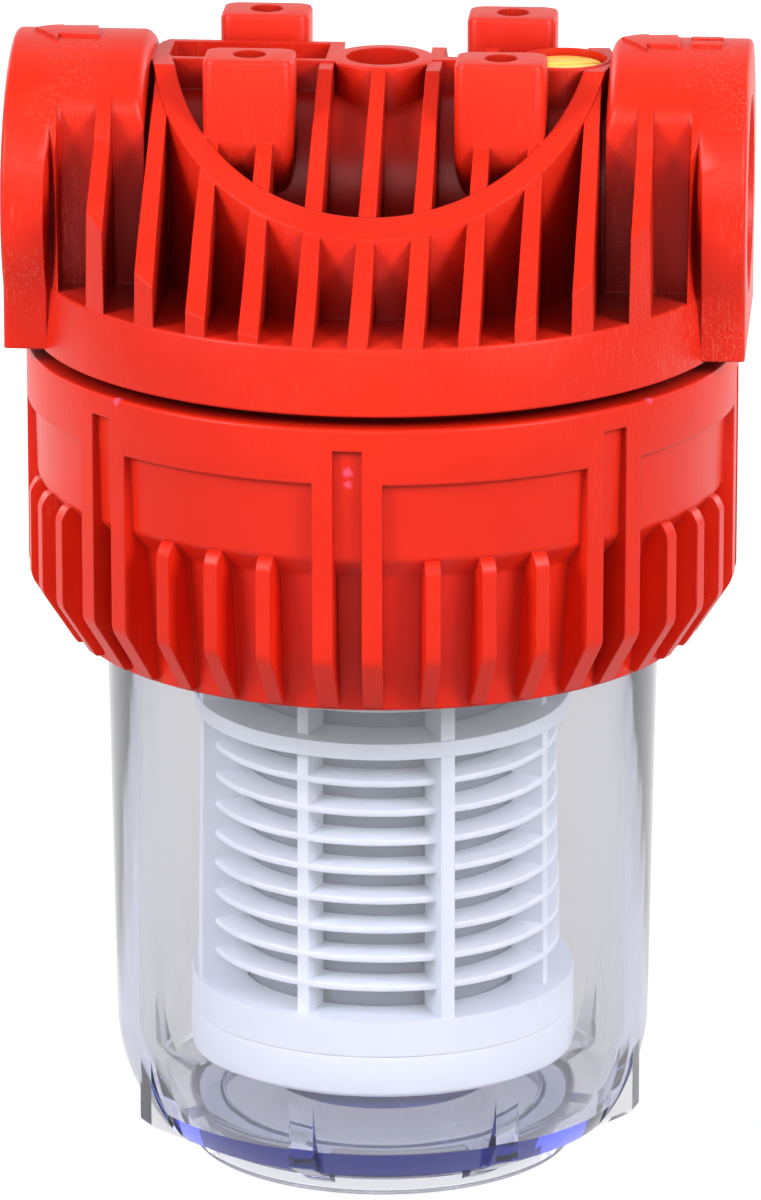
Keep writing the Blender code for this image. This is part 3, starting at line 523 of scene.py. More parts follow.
def white_plastic():
    """Cool white moulding with a soft skin."""
    material, formula, shader, place = new_material("white_plastic")
    cloud = formula.noise(place, 45.0, 2.0)
    grain = formula.noise(place, 3000.0, 1.0)
    body = formula.mix(cloud, WHITE_LOW, WHITE_HIGH)
    plug(formula, body, shader.inputs["Base Color"])
    plug(formula, 0.38 + 0.12 * cloud, shader.inputs["Roughness"])
    plug(formula, relief(formula, grain, 0.00002, 0.4, FINE_EDGE), shader.inputs["Normal"])
    return material


def nylon_cloth():
    """Grey nylon cloth: crossed threads round and along the sleeve."""
    material, formula, shader, place = new_material("nylon_cloth")
    parts = formula.node("ShaderNodeSeparateXYZ", Vector=place)
    turn = formula.maths("ARCTAN2", formula.out(parts, "Y"), formula.out(parts, "X"))
    around = formula.maths("SINE", turn * (CLOTH_R * THREADS_PER_MM * math.pi))
    along = formula.maths("SINE", formula.out(parts, "Z") * (THREADS_PER_MM / MM * math.pi))
    weave = (around * along) * 0.5 + 0.5
    cloud = formula.noise(place, 120.0, 2.0)
    body = formula.mix(weave * 0.5 + cloud * 0.4, CLOTH_LOW, CLOTH_HIGH)
    plug(formula, body, shader.inputs["Base Color"])
    plug(formula, 0.62 + 0.15 * weave, shader.inputs["Roughness"])
    plug(formula, relief(formula, weave, 0.00008, 0.6), shader.inputs["Normal"])
    return material


def rubber(name, colour):
    """Soft rubber with a dusty skin."""
    material, formula, shader, place = new_material(name)
    cloud = formula.noise(place, 400.0, 3.0)
    pale = tuple(min(1.0, value + DUST) for value in colour[:3]) + (1.0,)
    plug(formula, formula.mix(cloud, colour, pale), shader.inputs["Base Color"])
    plug(formula, 0.55 + 0.2 * cloud, shader.inputs["Roughness"])
    plug(formula, relief(formula, cloud, 0.00003, 0.5), shader.inputs["Normal"])
    return material


def turned_brass():
    """Pale brass with the lathe's rings."""
    material, formula, shader, place = new_material("turned_brass")
    middle = formula.node("ShaderNodeVectorMath", {"operation": "SUBTRACT"},
                          _0=place, _1=(VENT_X * MM, 0.0, 0.0))
    parts = formula.node("ShaderNodeSeparateXYZ", Vector=formula.out(middle))
    x, y = formula.out(parts, "X"), formula.out(parts, "Y")
    radius = (x * x + y * y) ** 0.5
    rings = formula.maths("SINE", radius * (2 * math.pi / LATHE_RING))
    cloud = formula.noise(place, 500.0, 3.0)
    body = formula.mix(cloud, BRASS_LOW, BRASS_HIGH)
    plug(formula, body, shader.inputs["Base Color"])
    shader.inputs["Metallic"].default_value = 0.85
    plug(formula, 0.40 + 0.14 * cloud, shader.inputs["Roughness"])
    plug(formula, relief(formula, rings + cloud, 0.00001, 0.4, FINE_EDGE), shader.inputs["Normal"])
    return material


cage_white = white_plastic()
mesh_grey = nylon_cloth()
seal_black = rubber("seal_black", SEAL_BLACK)
gasket_grey = rubber("gasket_grey", GASKET_GREY)
vent_brass = turned_brass()
NODE_FINISH = {
    "head": head_red, "clamp_nut": nut_red, "bowl": bowl_clear, "cage": cage_white,
    "lower_end_cap": cage_white, "upper_end_cap": cage_white, "mesh_screen": mesh_grey,
    "lower_gasket": gasket_grey, "upper_gasket": gasket_grey, "bowl_o_ring": seal_black,
    "vent_o_ring": seal_black, "vent_screw": vent_brass,
}
for node, finish in NODE_FINISH.items():
    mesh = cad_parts[node].data
    mesh.materials.clear()
    mesh.materials.append(finish)
print("materials:", len(set(NODE_FINISH.values())))

# %% [markdown]
# ## The head
#
# The head is the hardest moulding: two pipe ports joined by a water tube, a drum with a flange, and a roof
# of thin upright ribs with a curved wall through them. The ribs are cut off by one sloping roof, so they
# are pushed as plain tapered bars and trimmed by that roof and by the flange's cylinder, which leaves the
# small knees at their feet. Nearly every height hangs from the top of the posts, which the frame gives.
# Faces that fall together spoil a Boolean, so bases and tops that meet differ by a fraction of a
# millimetre, and a weld after each step closes the hairline cracks.

# %% Heights and radii of the head
POST_Z = head_high.z
BEAM_Z = POST_Z - 4.3
PORT_Z = POST_Z - 28.1
FLANGE_Z = POST_Z - 53.6
PLATE_Z = FLANGE_Z + 11.9
SKIRT_Z = head_low.z
CEILING_Z = PLATE_Z - 5.0
PORT_FACE_X = head_high.x
FLANGE_R = head_high.y
FLANGE_TOP_R = FLANGE_R - 1.3
RIM_SEAT_Z = FLANGE_Z - 4.0
SKIRT_R, SKIRT_BORE_R, CHAMBER_R = 57.4, 53.2, 48.5
PORT_R, PORT_INNER_X, PORT_CORE_HALF, PORT_PAD_HALF, PORT_PAD_W = 27.5, 40.8, 20.1, 23.6, 7.7
TUBE_R = 18.6
WALL_R, WALL_T = 41.0, 3.6
ROOF_TOP_Y, ROOF_TOP_Z, ROOF_WALL_Z = 9.2, BEAM_Z - 0.3, FLANGE_Z + 26.3
ROOF_HALF_LENGTH, ROOF_SAG = 66, 1.5
RIB_PITCH, RIB_LOW_W, RIB_HIGH_W = 9.57, 3.7, 2.5
ROUND, PORT_ROUND, SMALL_ROUND = 160, 96, 40
HEAD_WELD = 0.004
print("ports at", round(PORT_Z, 1), "flange from", round(FLANGE_Z, 1), "to", round(PLATE_Z, 1))

# %% Turn the drum
drum = lathe("head_moulding", soften([
    (0.0, PLATE_Z), (FLANGE_TOP_R, PLATE_Z, 0.5), (FLANGE_R, FLANGE_Z, 0.5), (SKIRT_R, FLANGE_Z),
    (SKIRT_R, SKIRT_Z, 0.6), (0.0, SKIRT_Z)]), ROUND)
print("drum:", len(drum.data.polygons), "faces")

# %% Shape the ports
PORT_BLEND_R, PORT_EDGE_R = 7.0, 1.0


def port_section(inset, x, pad):
    """Outline of a port across X: hollowed sides between the ribs (pad 0), full ones at the pad (1)."""
    radius = PORT_R - inset
    inner = PORT_CORE_HALF - PORT_BLEND_R
    rise = math.sqrt((radius - PORT_BLEND_R) ** 2 - inner ** 2)
    split = math.degrees(math.atan2(rise, inner))
    foot = -math.degrees(math.acos(PORT_PAD_HALF / PORT_R))
    full = arc((0.0, 0.0), radius, split, foot, 12)
    hollow = arc((inner, rise), PORT_BLEND_R, split, 0, 12)
    side = [(y0 + (y1 - y0) * pad, z0 + (z1 - z0) * pad) for (y0, z0), (y1, z1) in zip(hollow, full)]
    top = arc((0.0, 0.0), radius, 180 - split, split, 28)
    base = FLANGE_Z + 0.6 - PORT_Z
    right = top + side[1:] + [(side[-1][0], base)]
    left = [(-side[-1][0], base)] + [(-y, z) for y, z in reversed(side[1:])]
    return [(x, y, PORT_Z + z) for y, z in left + right]


def port(side):
    """One port as a single skin: rounded inner end, ribbed core, pad and rounded face."""
    pad_x = PORT_FACE_X - PORT_PAD_W
    rows = [(2.5, PORT_INNER_X, 0.0), (1.0, PORT_INNER_X + 0.6, 0.0), (0.3, PORT_INNER_X + 1.3, 0.0),
            (0.0, PORT_INNER_X + 2.0, 0.0), (0.0, pad_x - 2.6, 0.0), (0.0, pad_x - 1.7, 0.2),
            (0.0, pad_x - 0.7, 0.75), (0.0, pad_x, 1.0)]
    for depth, x in arc((PORT_EDGE_R, PORT_FACE_X - PORT_EDGE_R), PORT_EDGE_R, 180, 90, 5):
        rows.append((depth, x, 1.0))
    sections = [port_section(inset, side * x, pad) for inset, x, pad in rows]
    if side < 0:
        sections = [list(reversed(section)) for section in sections]
    return skin("port", sections)


arch = [(-TUBE_R, PLATE_Z - 1.6), (TUBE_R, PLATE_Z - 1.6)] + arc((0.0, PORT_Z), TUBE_R, 0, 180, 48)
tube = push("tube", [(arch, -PORT_INNER_X - 2, PORT_INNER_X + 2)], "X")
combine(drum, "UNION", port(-1), port(1), tube, reach=HEAD_WELD)
print("with ports and tube:", len(drum.data.polygons), "faces")

# %% Grow the ribs and the curved wall
def roof(lift=0.0, over_port=False):
    """The sloping roof, as an outline in Y and Z; over a port it follows the port first."""
    fall = (ROOF_TOP_Z - ROOF_WALL_Z) / (WALL_R - ROOF_TOP_Y)
    half = [(ROOF_TOP_Y, ROOF_TOP_Z)]
    if over_port:
        half = [(y, z) for y, z in arc((0.0, PORT_Z), PORT_R - 0.05, 62, 0, 31)
                if z > ROOF_TOP_Z - fall * (y - ROOF_TOP_Y)]
    half.append((WALL_R, ROOF_WALL_Z))
    for step in range(1, 9):
        share = step / 8
        sag = ROOF_SAG * 4 * share * (1 - share)
        half.append((WALL_R + (FLANGE_TOP_R - WALL_R) * share,
                     ROOF_WALL_Z + (PLATE_Z - ROOF_WALL_Z) * share - sag))
    right = [(y, z + lift) for y, z in half]
    left = [(-y, z) for y, z in reversed(right)]
    return [(-FLANGE_TOP_R, PLATE_Z - 3.2)] + left + right + [(FLANGE_TOP_R, PLATE_Z - 3.2)]


def rib_bars(indices, over_port):
    """Tapered bars along Y, trimmed by the roof and by the flange's cylinder."""
    bars = []
    for index in indices:
        middle = index * RIB_PITCH
        low, high = RIB_LOW_W / 2, RIB_HIGH_W / 2
        bars.append(([(middle - low, PLATE_Z - 2.4), (middle + low, PLATE_Z - 2.4),
                      (middle + high, BEAM_Z + 1), (middle - high, BEAM_Z + 1)], -FLANGE_R, FLANGE_R))
    ribs = push("ribs", bars, "Y")
    limit = lathe("limit", box_outline(0.0, FLANGE_TOP_R - 0.1, PLATE_Z - 3.6, POST_Z), ROUND)
    under = push("roof", [(roof(over_port=over_port), -ROOF_HALF_LENGTH, ROOF_HALF_LENGTH)], "X")
    return combine(ribs, "INTERSECT", under, limit)


wall = lathe("wall", [(WALL_R - WALL_T, BEAM_Z + 2), (WALL_R, BEAM_Z + 2), (WALL_R + 1.0, PLATE_Z - 2),
                      (WALL_R - WALL_T, PLATE_Z - 2)], ROUND)
combine(wall, "INTERSECT", push("roof", [(roof(lift=0.4), -ROOF_HALF_LENGTH, ROOF_HALF_LENGTH)], "X"))
combine(drum, "UNION", rib_bars(range(-4, 5), False), rib_bars((-6, -5, 5, 6), True), wall,
        reach=HEAD_WELD)
print("with ribs and wall:", len(drum.data.polygons), "faces")

# %% Stand the posts, the beam and the bosses on it
POST_X, POST_Y, POST_W, POST_D, POST_ROUND_R = 22.2, 18.0, 16.0, 10.9, 2.1
BOSS_R, VENT_BOSS_R = 9.2, 8.5


def post(side_x, side_y):
    """A round-cornered post whose foot runs back into the water tube."""
    rows = [(0.8, 0.0, POST_Z), (0.25, 0.0, POST_Z - 0.2), (0.0, 0.0, POST_Z - 0.8),
            (0.0, 0.0, POST_Z - 17.5), (0.2, 0.7, POST_Z - 20.0), (0.8, 2.6, POST_Z - 23.0),
            (1.6, 5.0, POST_Z - 26.0), (2.2, 6.4, POST_Z - 30.0), (2.4, 6.6, PLATE_Z - 1)]
    sections = []
    for inset, back, z in rows:
        near = POST_Y - POST_D / 2 + inset
        far = POST_Y + POST_D / 2 - inset - min(back, 4.6)
        left = POST_X - POST_W / 2 + inset
        right = POST_X + POST_W / 2 - inset
        radius = min(POST_ROUND_R, (far - near) / 2 - 0.2)
        outline = soften([(left, near, radius), (right, near, radius), (right, far, radius),
                          (left, far, radius)], 6)
        if side_x * side_y < 0:
            outline.reverse()
        sections.append([(side_x * x, side_y * y, z) for x, y in outline])
    return skin("post", sections)


def cup(name, radius, x, top):
    """A round boss that stands on the tube."""
    base = PORT_Z - radius / 4
    outline = soften([(0.0, top), (radius, top, 0.4), (radius, base), (0.0, base)])
    return lathe(name, outline, SMALL_ROUND, Matrix.Translation((x, 0, 0)))


beam = push("beam", [(soften([(-39.6, -4.0, 1.0), (-7.5, -4.0), (-7.5, 11.0), (-39.6, 11.0, 1.0)]),
                      PORT_Z, BEAM_Z)])
web = push("web", [(box_outline(0.0, VENT_X, -1.3, 1.3), PORT_Z + 1, BEAM_Z - 0.12)])
combine(drum, "UNION", *[post(x, y) for x in (-1, 1) for y in (-1, 1)], beam, web,
        cup("centre_boss", BOSS_R, 0.0, BEAM_Z + 0.06),
        cup("vent_boss", VENT_BOSS_R, VENT_X, BEAM_Z + 0.3), reach=HEAD_WELD)
print("with posts, beam and bosses:", len(drum.data.polygons), "faces")

# %% Cut the water ways and the holes
SOCKET_R, SOCKET_DEPTH, PASSAGE_R = 15.8, 18.0, 10.0
INLET_END_X = 25.5
CARTRIDGE_SEAT_R, CARTRIDGE_BORE_R = 16.5, 13.5
POST_HOLE_R = 3.0
VENT_SEAT_Z = vent_high.z - 5.6


def way(side, end_x):
    """A port's socket and passage as one turned cutter."""
    face = PORT_FACE_X
    outline = [(0.0, face + 2), (18.6, face + 2), (17.0, face - 1.6), (SOCKET_R, face - 2.0),
               (SOCKET_R, face - SOCKET_DEPTH), (PASSAGE_R, face - SOCKET_DEPTH),
               (PASSAGE_R, end_x), (0.0, end_x)]
    return lathe("way", outline, PORT_ROUND, along_x(side, PORT_Z))


def drill(radius, x, y, low, high, steps=SMALL_ROUND):
    """A plain round cutter."""
    return lathe("drill", box_outline(0.0, radius, low, high), steps, Matrix.Translation((x, y, 0)))


chamber = lathe("chamber", [
    (0.0, FLANGE_Z - 10.0), (CARTRIDGE_BORE_R, FLANGE_Z - 10.0), (CARTRIDGE_BORE_R, FLANGE_Z - 2.8),
    (CARTRIDGE_SEAT_R, FLANGE_Z - 2.8), (CARTRIDGE_SEAT_R, CEILING_Z), (CHAMBER_R, CEILING_Z),
    (CHAMBER_R, RIM_SEAT_Z), (SKIRT_BORE_R, RIM_SEAT_Z), (SKIRT_BORE_R, SKIRT_Z - 2),
    (0.0, SKIRT_Z - 2)], ROUND)
pocket_outline = soften([(-38.0, -2.4, 0.8), (-10.0, -2.4), (-10.0, 9.4), (-38.0, 9.4, 0.8)])
pocket = push("pocket", [(pocket_outline, BEAM_Z - 6.0, BEAM_Z + 2)])
inlet_drill = drill(8.5, 36.0, 0.0, CEILING_Z - 2, PORT_Z)
outlet_drill = drill(10.5, 0.0, 0.0, FLANGE_Z - 12, PORT_Z + 4.3)
boss_drill = drill(6.55, 0.0, 0.0, BEAM_Z - 6.0, BEAM_Z + 2)
vent_seat = drill(7.7, VENT_X, 0.0, VENT_SEAT_Z, BEAM_Z + 2)
vent_bore = drill(5.6, VENT_X, 0.0, PORT_Z + 12.0, VENT_SEAT_Z + 1)
combine(drum, "DIFFERENCE", chamber, way(-1, 0.0), way(1, INLET_END_X), pocket,
        inlet_drill, outlet_drill, boss_drill, vent_seat, vent_bore, reach=HEAD_WELD)
for x in (-1, 1):
    for y in (-1, 1):
        hole = drill(POST_HOLE_R, x * POST_X, y * POST_Y, POST_Z - 16, POST_Z + 2, 28)
        combine(drum, "DIFFERENCE", hole, reach=HEAD_WELD)
print("with ways and holes:", len(drum.data.polygons), "faces")

# %% Raise the flow arrows on the ports
ARROW_H = 0.5


def arrow(tip_x, end_x, middle_y):
    """A flat arrow that points along -X, with a notched tail."""
    barb_x = tip_x + 4.6
    return [(tip_x, middle_y), (barb_x, middle_y - 6.0), (barb_x, middle_y - 3.6),
            (end_x, middle_y - 4.2), (end_x - 1.2, middle_y + 4.6), (barb_x, middle_y + 3.0),
            (barb_x, middle_y + 6.0)]


def raised_on_port(name, outline, side):
    """Wrap a flat outline onto the top of a port."""
    form = push(name, [(outline, PORT_Z + 12, PORT_Z + 40)])
    shell = lathe("shell", box_outline(18.0, PORT_R + ARROW_H, PORT_INNER_X, PORT_FACE_X),
                  PORT_ROUND, along_x(side, PORT_Z))
    return combine(form, "INTERSECT", shell)


BAR_FROM_X, BAR_TO_X = 55.0, 60.6
bar = box_outline(BAR_FROM_X, BAR_TO_X, 0.2, 2.2)
lower_bar = box_outline(BAR_FROM_X, BAR_TO_X, -3.4, -1.4)
combine(drum, "UNION", raised_on_port("outlet_arrow", arrow(-62.2, -50.2, 0.6), -1),
        raised_on_port("inlet_arrow", arrow(42.6, 53.4, 0.2), 1),
        raised_on_port("inlet_bar", bar, 1), raised_on_port("inlet_lower_bar", lower_bar, 1),
        reach=HEAD_WELD)
dress(drum, head_red, "head", "head")

# %% [markdown]
# ## The ring nut
#
# The nut is turned, then ribbed. In each of eight sectors a pair of long ribs runs up to the smooth band,
# and three short ribs between the pairs fade out at a ledge. A shallow notch carries the gap of each pair
# on into the band. Each kind of rib is one outline, pushed at every angle that it stands at.

# %% Build the nut
NUT_R, NUT_TOP, NUT_LOW = nut_high.y, nut_high.z, nut_low.z
BAND_Z, LEDGE_Z, GRIP_Z = NUT_TOP - 10.1, NUT_TOP - 24.1, NUT_TOP - 28.1
RECESS_R, GRIP_WALL_R, NUT_FOOT_R = NUT_R - 1.5, NUT_R - 5.5, NUT_R - 8.1
SECTORS, NUT_ANGLE = 8, -1.4
TWIN_SPREAD, TWIN_W, GRIP_SPREAD, GRIP_W = 3.9, 3.6, 9.0, 2.7
THREAD_BORE_R, LIP_BORE_R, NECK_BORE_R = 57.8, 50.8, 53.4

ring_nut = lathe("ring_nut", soften([
    (THREAD_BORE_R, NUT_TOP), (NUT_R, NUT_TOP, 0.6), (NUT_R, BAND_Z, 0.5), (RECESS_R, BAND_Z, 0.4),
    (RECESS_R - 0.3, LEDGE_Z, 2.2), (GRIP_WALL_R, GRIP_Z, 2.2), (NUT_FOOT_R, NUT_LOW, 0.6),
    (LIP_BORE_R, NUT_LOW), (LIP_BORE_R, NUT_LOW + 3.5), (NECK_BORE_R, NUT_LOW + 3.5),
    (NECK_BORE_R, SKIRT_Z - 3.6), (THREAD_BORE_R, SKIRT_Z - 0.6)]), ROUND)
sector = 360 / SECTORS
middles = [NUT_ANGLE + sector * index for index in range(SECTORS)]
twins = [middle + side * TWIN_SPREAD for middle in middles for side in (-1, 1)]
grips = [middle + sector / 2 + GRIP_SPREAD * step for middle in middles for step in (-1, 0, 1)]
root = NUT_FOOT_R - 1.0
twin_outline = soften([
    (root, NUT_LOW + 1.0), (NUT_FOOT_R + 1.6, NUT_LOW + 1.0, 0.5), (NUT_R, NUT_LOW + 11.0, 4.0),
    (NUT_R, BAND_Z + 2.0), (RECESS_R - 3.0, BAND_Z + 2.0), (RECESS_R - 3.0, LEDGE_Z),
    (root, GRIP_Z)])
grip_outline = soften([
    (root, NUT_LOW + 1.0), (NUT_FOOT_R + 1.6, NUT_LOW + 1.0, 0.5), (NUT_R - 0.02, NUT_LOW + 11.0, 4.0),
    (NUT_R - 0.02, LEDGE_Z - 2.2, 3.0), (RECESS_R - 0.1, LEDGE_Z + 0.4, 1.5),
    (RECESS_R - 3.0, LEDGE_Z - 1.0), (root, GRIP_Z)])
gap = 2 * NUT_R * math.sin(math.radians(TWIN_SPREAD)) - TWIN_W
notch_outline = box_outline(RECESS_R, NUT_R + 2.0, BAND_Z - 2.0, BAND_Z + 6.2)
combine(ring_nut, "UNION", fins("twins", twin_outline, TWIN_W, twins),
        fins("grips", grip_outline, GRIP_W, grips))
combine(ring_nut, "DIFFERENCE", fins("notches", notch_outline, gap, middles))
dress(ring_nut, nut_red, "clamp_nut", "clamp_nut")

# %% [markdown]
# ## The clear bowl
#
# The bowl is one turned section: thin wall, rounded thick bottom, foot ring, and inside it the pedestal and
# nose that centre the cartridge. Eight lugs round the bottom take a spanner. Light bends through it, so it
# must be one closed skin with its true wall: a stray inner face would show as a dark ring.

# %% Build the bowl
RIM_Z = bowl_high.z
BOWL_R, BOWL_TOP_R, NECK_R, WALL = 48.8, 50.2, 52.8, 4.0
CORNER_R, CORNER_Z = 33.0, 26.0
FOOT_R, FOOT_TOP_R, FOOT_Z, FLOOR_Z, SEAT_Z = 35.0, 36.5, 6.8, 11.5, 17.3
MOUTH_R, FOOT_HOLLOW_R, FOOT_HOLLOW_Z = 47.6, 30.0, 3.0
NOSE_BORE_R, NOSE_R, PEDESTAL_R, NOSE_H = 10.5, 13.5, 20.5, 7.2
RIM_W, GROOVE_D, GROOVE_TO = 3.0, 3.4, 6.7
SHOULDER_Z = NUT_LOW + 3.8
LUGS, LUG_ANGLE, LUG_W = 8, 31.6, 4.5

corner = (BOWL_R - CORNER_R, CORNER_Z)
inner_arc = CORNER_R - WALL
shelf_angle = math.degrees(math.asin((FOOT_Z - CORNER_Z) / CORNER_R))
floor_angle = math.degrees(math.asin((FLOOR_Z - CORNER_Z) / inner_arc))
outside = [(MOUTH_R, RIM_Z), (NECK_R - 0.8, RIM_Z), (NECK_R, RIM_Z - 0.8), (NECK_R, RIM_Z - RIM_W),
           (NECK_R - GROOVE_D, RIM_Z - RIM_W), (NECK_R - GROOVE_D, RIM_Z - GROOVE_TO),
           (NECK_R, RIM_Z - GROOVE_TO), (NECK_R, SHOULDER_Z), (BOWL_TOP_R, SHOULDER_Z)]
outside += arc(corner, CORNER_R, 0, shelf_angle, 28)
outside += soften([(FOOT_TOP_R, FOOT_Z, 0.8), (FOOT_R, 0.0, 1.2), (FOOT_HOLLOW_R, 0.0, 0.8),
                   (FOOT_HOLLOW_R, FOOT_HOLLOW_Z, 0.8), (0.0, FOOT_HOLLOW_Z)])
inside = soften([(0.0, FLOOR_Z), (NOSE_BORE_R, FLOOR_Z), (NOSE_BORE_R, SEAT_Z + NOSE_H, 0.4),
                 (NOSE_R, SEAT_Z + NOSE_H, 0.4), (NOSE_R, SEAT_Z), (PEDESTAL_R, SEAT_Z, 0.4),
                 (PEDESTAL_R, FLOOR_Z)])
inside += arc(corner, inner_arc, floor_angle, 0, 24)
inside += [(BOWL_TOP_R - WALL, SHOULDER_Z - 2.0), (MOUTH_R, SHOULDER_Z + 4.5)]
clear_bowl = lathe("clear_bowl", outside + inside, ROUND)


def at_corner(radius, height):
    """Radius of the rounded bottom at a height, for an arc about the same centre."""
    return corner[0] + math.sqrt(radius ** 2 - (CORNER_Z - height) ** 2)


LUG_FACE_R, LUG_ROOT_R, LUG_IN_R = BOWL_R - 0.3, 32.0, 31.0
LUG_LOW_Z, LUG_MIDDLE_Z, LUG_TOP_Z = 9.1, 16.3, 24.0
lug_outline = soften([
    (LUG_ROOT_R, 0.6), (LUG_FACE_R, 9.5, 1.0), (LUG_FACE_R, LUG_TOP_Z, 0.8),
    (at_corner(LUG_IN_R, LUG_TOP_Z), LUG_TOP_Z), (at_corner(LUG_IN_R, LUG_MIDDLE_Z), LUG_MIDDLE_Z),
    (at_corner(LUG_IN_R, LUG_LOW_Z), LUG_LOW_Z), (LUG_ROOT_R, LUG_LOW_Z)])
lugs = [LUG_ANGLE + 360 / LUGS * index for index in range(LUGS)]
combine(clear_bowl, "UNION", fins("lugs", lug_outline, LUG_W, lugs))
dress(clear_bowl, bowl_clear, "bowl", "bowl")

# %% [markdown]
# ## The cartridge
#
# Two caps close a cage of thin round slats on eight fins, and a sleeve of fine nylon cloth lies inside it.
# The slats divide the window evenly, so their pitch is worked out from the length that the frame gives.

# %% Build the cartridge
CAP_R = cap_high.y
CAP_LOW, CAP_TOP = cap_low.z, top_cap_high.z
MIDDLE_Z = (CAP_LOW + CAP_TOP) / 2
HALF = (CAP_TOP - CAP_LOW) / 2
CAP_H, CAP_FLOOR, CAP_BORE_R, CAP_INNER_R = 8.0, 3.0, 14.2, 31.7
CAP_SEAM, COLLAR_H, END_GAP = 0.1, 6.5, 0.3
CAGE_BORE_R, SLAT_R, MAIN_FIN_R, COLLAR_R = 26.5, 32.5, 34.8, 31.1
SLATS, SLAT_T, DISC_T = 8, 1.3, 2.9
FIN_ANGLE, MAIN_FIN_W, MINOR_FIN_W = 23.4, 2.6, 2.2
CAGE_ROUND = 96

for side, node, name in ((-1, "lower_end_cap", "foot_cap"), (1, "upper_end_cap", "top_cap")):
    section = soften([(CAP_BORE_R, 0.0, 0.3), (CAP_R, 0.0, 1.2), (CAP_R, CAP_H, 0.3),
                      (CAP_INNER_R, CAP_H), (CAP_INNER_R, CAP_FLOOR), (CAP_BORE_R, CAP_FLOOR)])
    outline = [(radius, MIDDLE_Z + side * (HALF - depth)) for radius, depth in section]
    dress(lathe(name, outline, CAGE_ROUND), cage_white, "bowl", node)

seam = HALF - CAP_H - CAP_SEAM
collar_in = seam - COLLAR_H
pitch = (collar_in - DISC_T / 2) / (SLATS + 1)
disc_outline = box_outline(CAGE_BORE_R, CAP_R, MIDDLE_Z - DISC_T / 2, MIDDLE_Z + DISC_T / 2)
cage = lathe("slatted_cage", disc_outline, CAGE_ROUND)
for side in (-1, 1):
    collar = [(CAGE_BORE_R, HALF - CAP_FLOOR - END_GAP), (COLLAR_R, HALF - CAP_FLOOR - END_GAP),
              (COLLAR_R, seam), (CAP_R, seam), (CAP_R, collar_in), (CAGE_BORE_R, collar_in)]
    outline = [(radius, MIDDLE_Z + side * depth) for radius, depth in collar]
    combine(cage, "UNION", lathe("collar", outline, CAGE_ROUND))
    for index in range(SLATS):
        z = MIDDLE_Z + side * (DISC_T / 2 + pitch * (index + 1))
        slat = soften([(CAGE_BORE_R, z - SLAT_T / 2), (SLAT_R, z - SLAT_T / 2, 0.3),
                       (SLAT_R, z + SLAT_T / 2, 0.3), (CAGE_BORE_R, z + SLAT_T / 2)], 2)
        combine(cage, "UNION", lathe("slat", slat, CAGE_ROUND))
reach = collar_in + 3.0
ends = (MIDDLE_Z - reach, MIDDLE_Z + reach)
inner = CAGE_BORE_R - 0.02
main_angles = [FIN_ANGLE + 90 * index for index in range(4)]
minor_angles = [angle + 45 for angle in main_angles]
main_fins = fins("main_fins", box_outline(inner, MAIN_FIN_R, *ends), MAIN_FIN_W, main_angles)
minor_fins = fins("minor_fins", box_outline(inner, SLAT_R - 0.05, *ends), MINOR_FIN_W, minor_angles)
combine(cage, "UNION", main_fins, minor_fins)
dress(cage, cage_white, "bowl", "cage")

CLOTH_IN_R, CLOTH_OUT_R = 25.1, 25.7
cloth_high = MIDDLE_Z + HALF - CAP_FLOOR - END_GAP
cloth_low = 2 * MIDDLE_Z - cloth_high
cloth = lathe("nylon_sleeve", box_outline(CLOTH_IN_R, CLOTH_OUT_R, cloth_low, cloth_high), CAGE_ROUND)
dress(cloth, mesh_grey, "bowl", "mesh_screen")

# %% [markdown]
# ## The vent screw
#
# A slotted brass plug lets the air out. It turns with its own joint, so it rides on that body.

# %% Build the vent screw
VENT_HEAD_R, VENT_TOP_R, VENT_SHANK_R, VENT_HEAD_H = 7.4, 6.6, 5.2, 3.4
SLOT_W, SLOT_D, SLOT_ANGLE, SLOT_HALF = 1.5, 1.6, 12.0, 9.0
VENT_ROUND = 64
plug_low, plug_high = vent_low.z, vent_high.z
vent_middle = Matrix.Translation((VENT_X, 0, 0))
vent_plug = lathe("brass_plug", soften([
    (0.0, plug_high), (VENT_TOP_R, plug_high, 0.3), (VENT_HEAD_R, plug_high - 0.6, 0.3),
    (VENT_HEAD_R, plug_high - VENT_HEAD_H), (VENT_SHANK_R, plug_high - VENT_HEAD_H),
    (VENT_SHANK_R, plug_low), (0.0, plug_low)]), VENT_ROUND, vent_middle)
slot_turn = Matrix.Rotation(math.radians(SLOT_ANGLE), 2)
slot_outline = [tuple(slot_turn @ Vector(corner) + Vector((VENT_X, 0)))
                for corner in box_outline(-SLOT_HALF, SLOT_HALF, -SLOT_W / 2, SLOT_W / 2)]
combine(vent_plug, "DIFFERENCE", push("slot", [(slot_outline, plug_high - SLOT_D, plug_high + 2)]))
dress(vent_plug, vent_brass, "vent_screw", "vent_screw")

# %% [markdown]
# ## A white studio
#
# Such a picture is taken in white surroundings with a large soft lamp on each side, so that ribs shade the
# slots between them, a weak one in front, and two weak ones behind for the back. The filter hangs by its
# head, so the white floor lies just deep enough under it for the bowl to come off. To the camera and to
# mirrors the surroundings are plain white; near the filter the floor's glow is weaker, so the lamps' faint
# real shadow shows. Clear plastic sees them white too, apart from the floor near the filter, whose glow is
# painted nearly dark there as a shadow, and light that has bounced inside the bowl sees them dimmer.

# %% Say what each ray sees
WORLD_LEVEL = 0.14
INSIDE_SHARE = 0.7


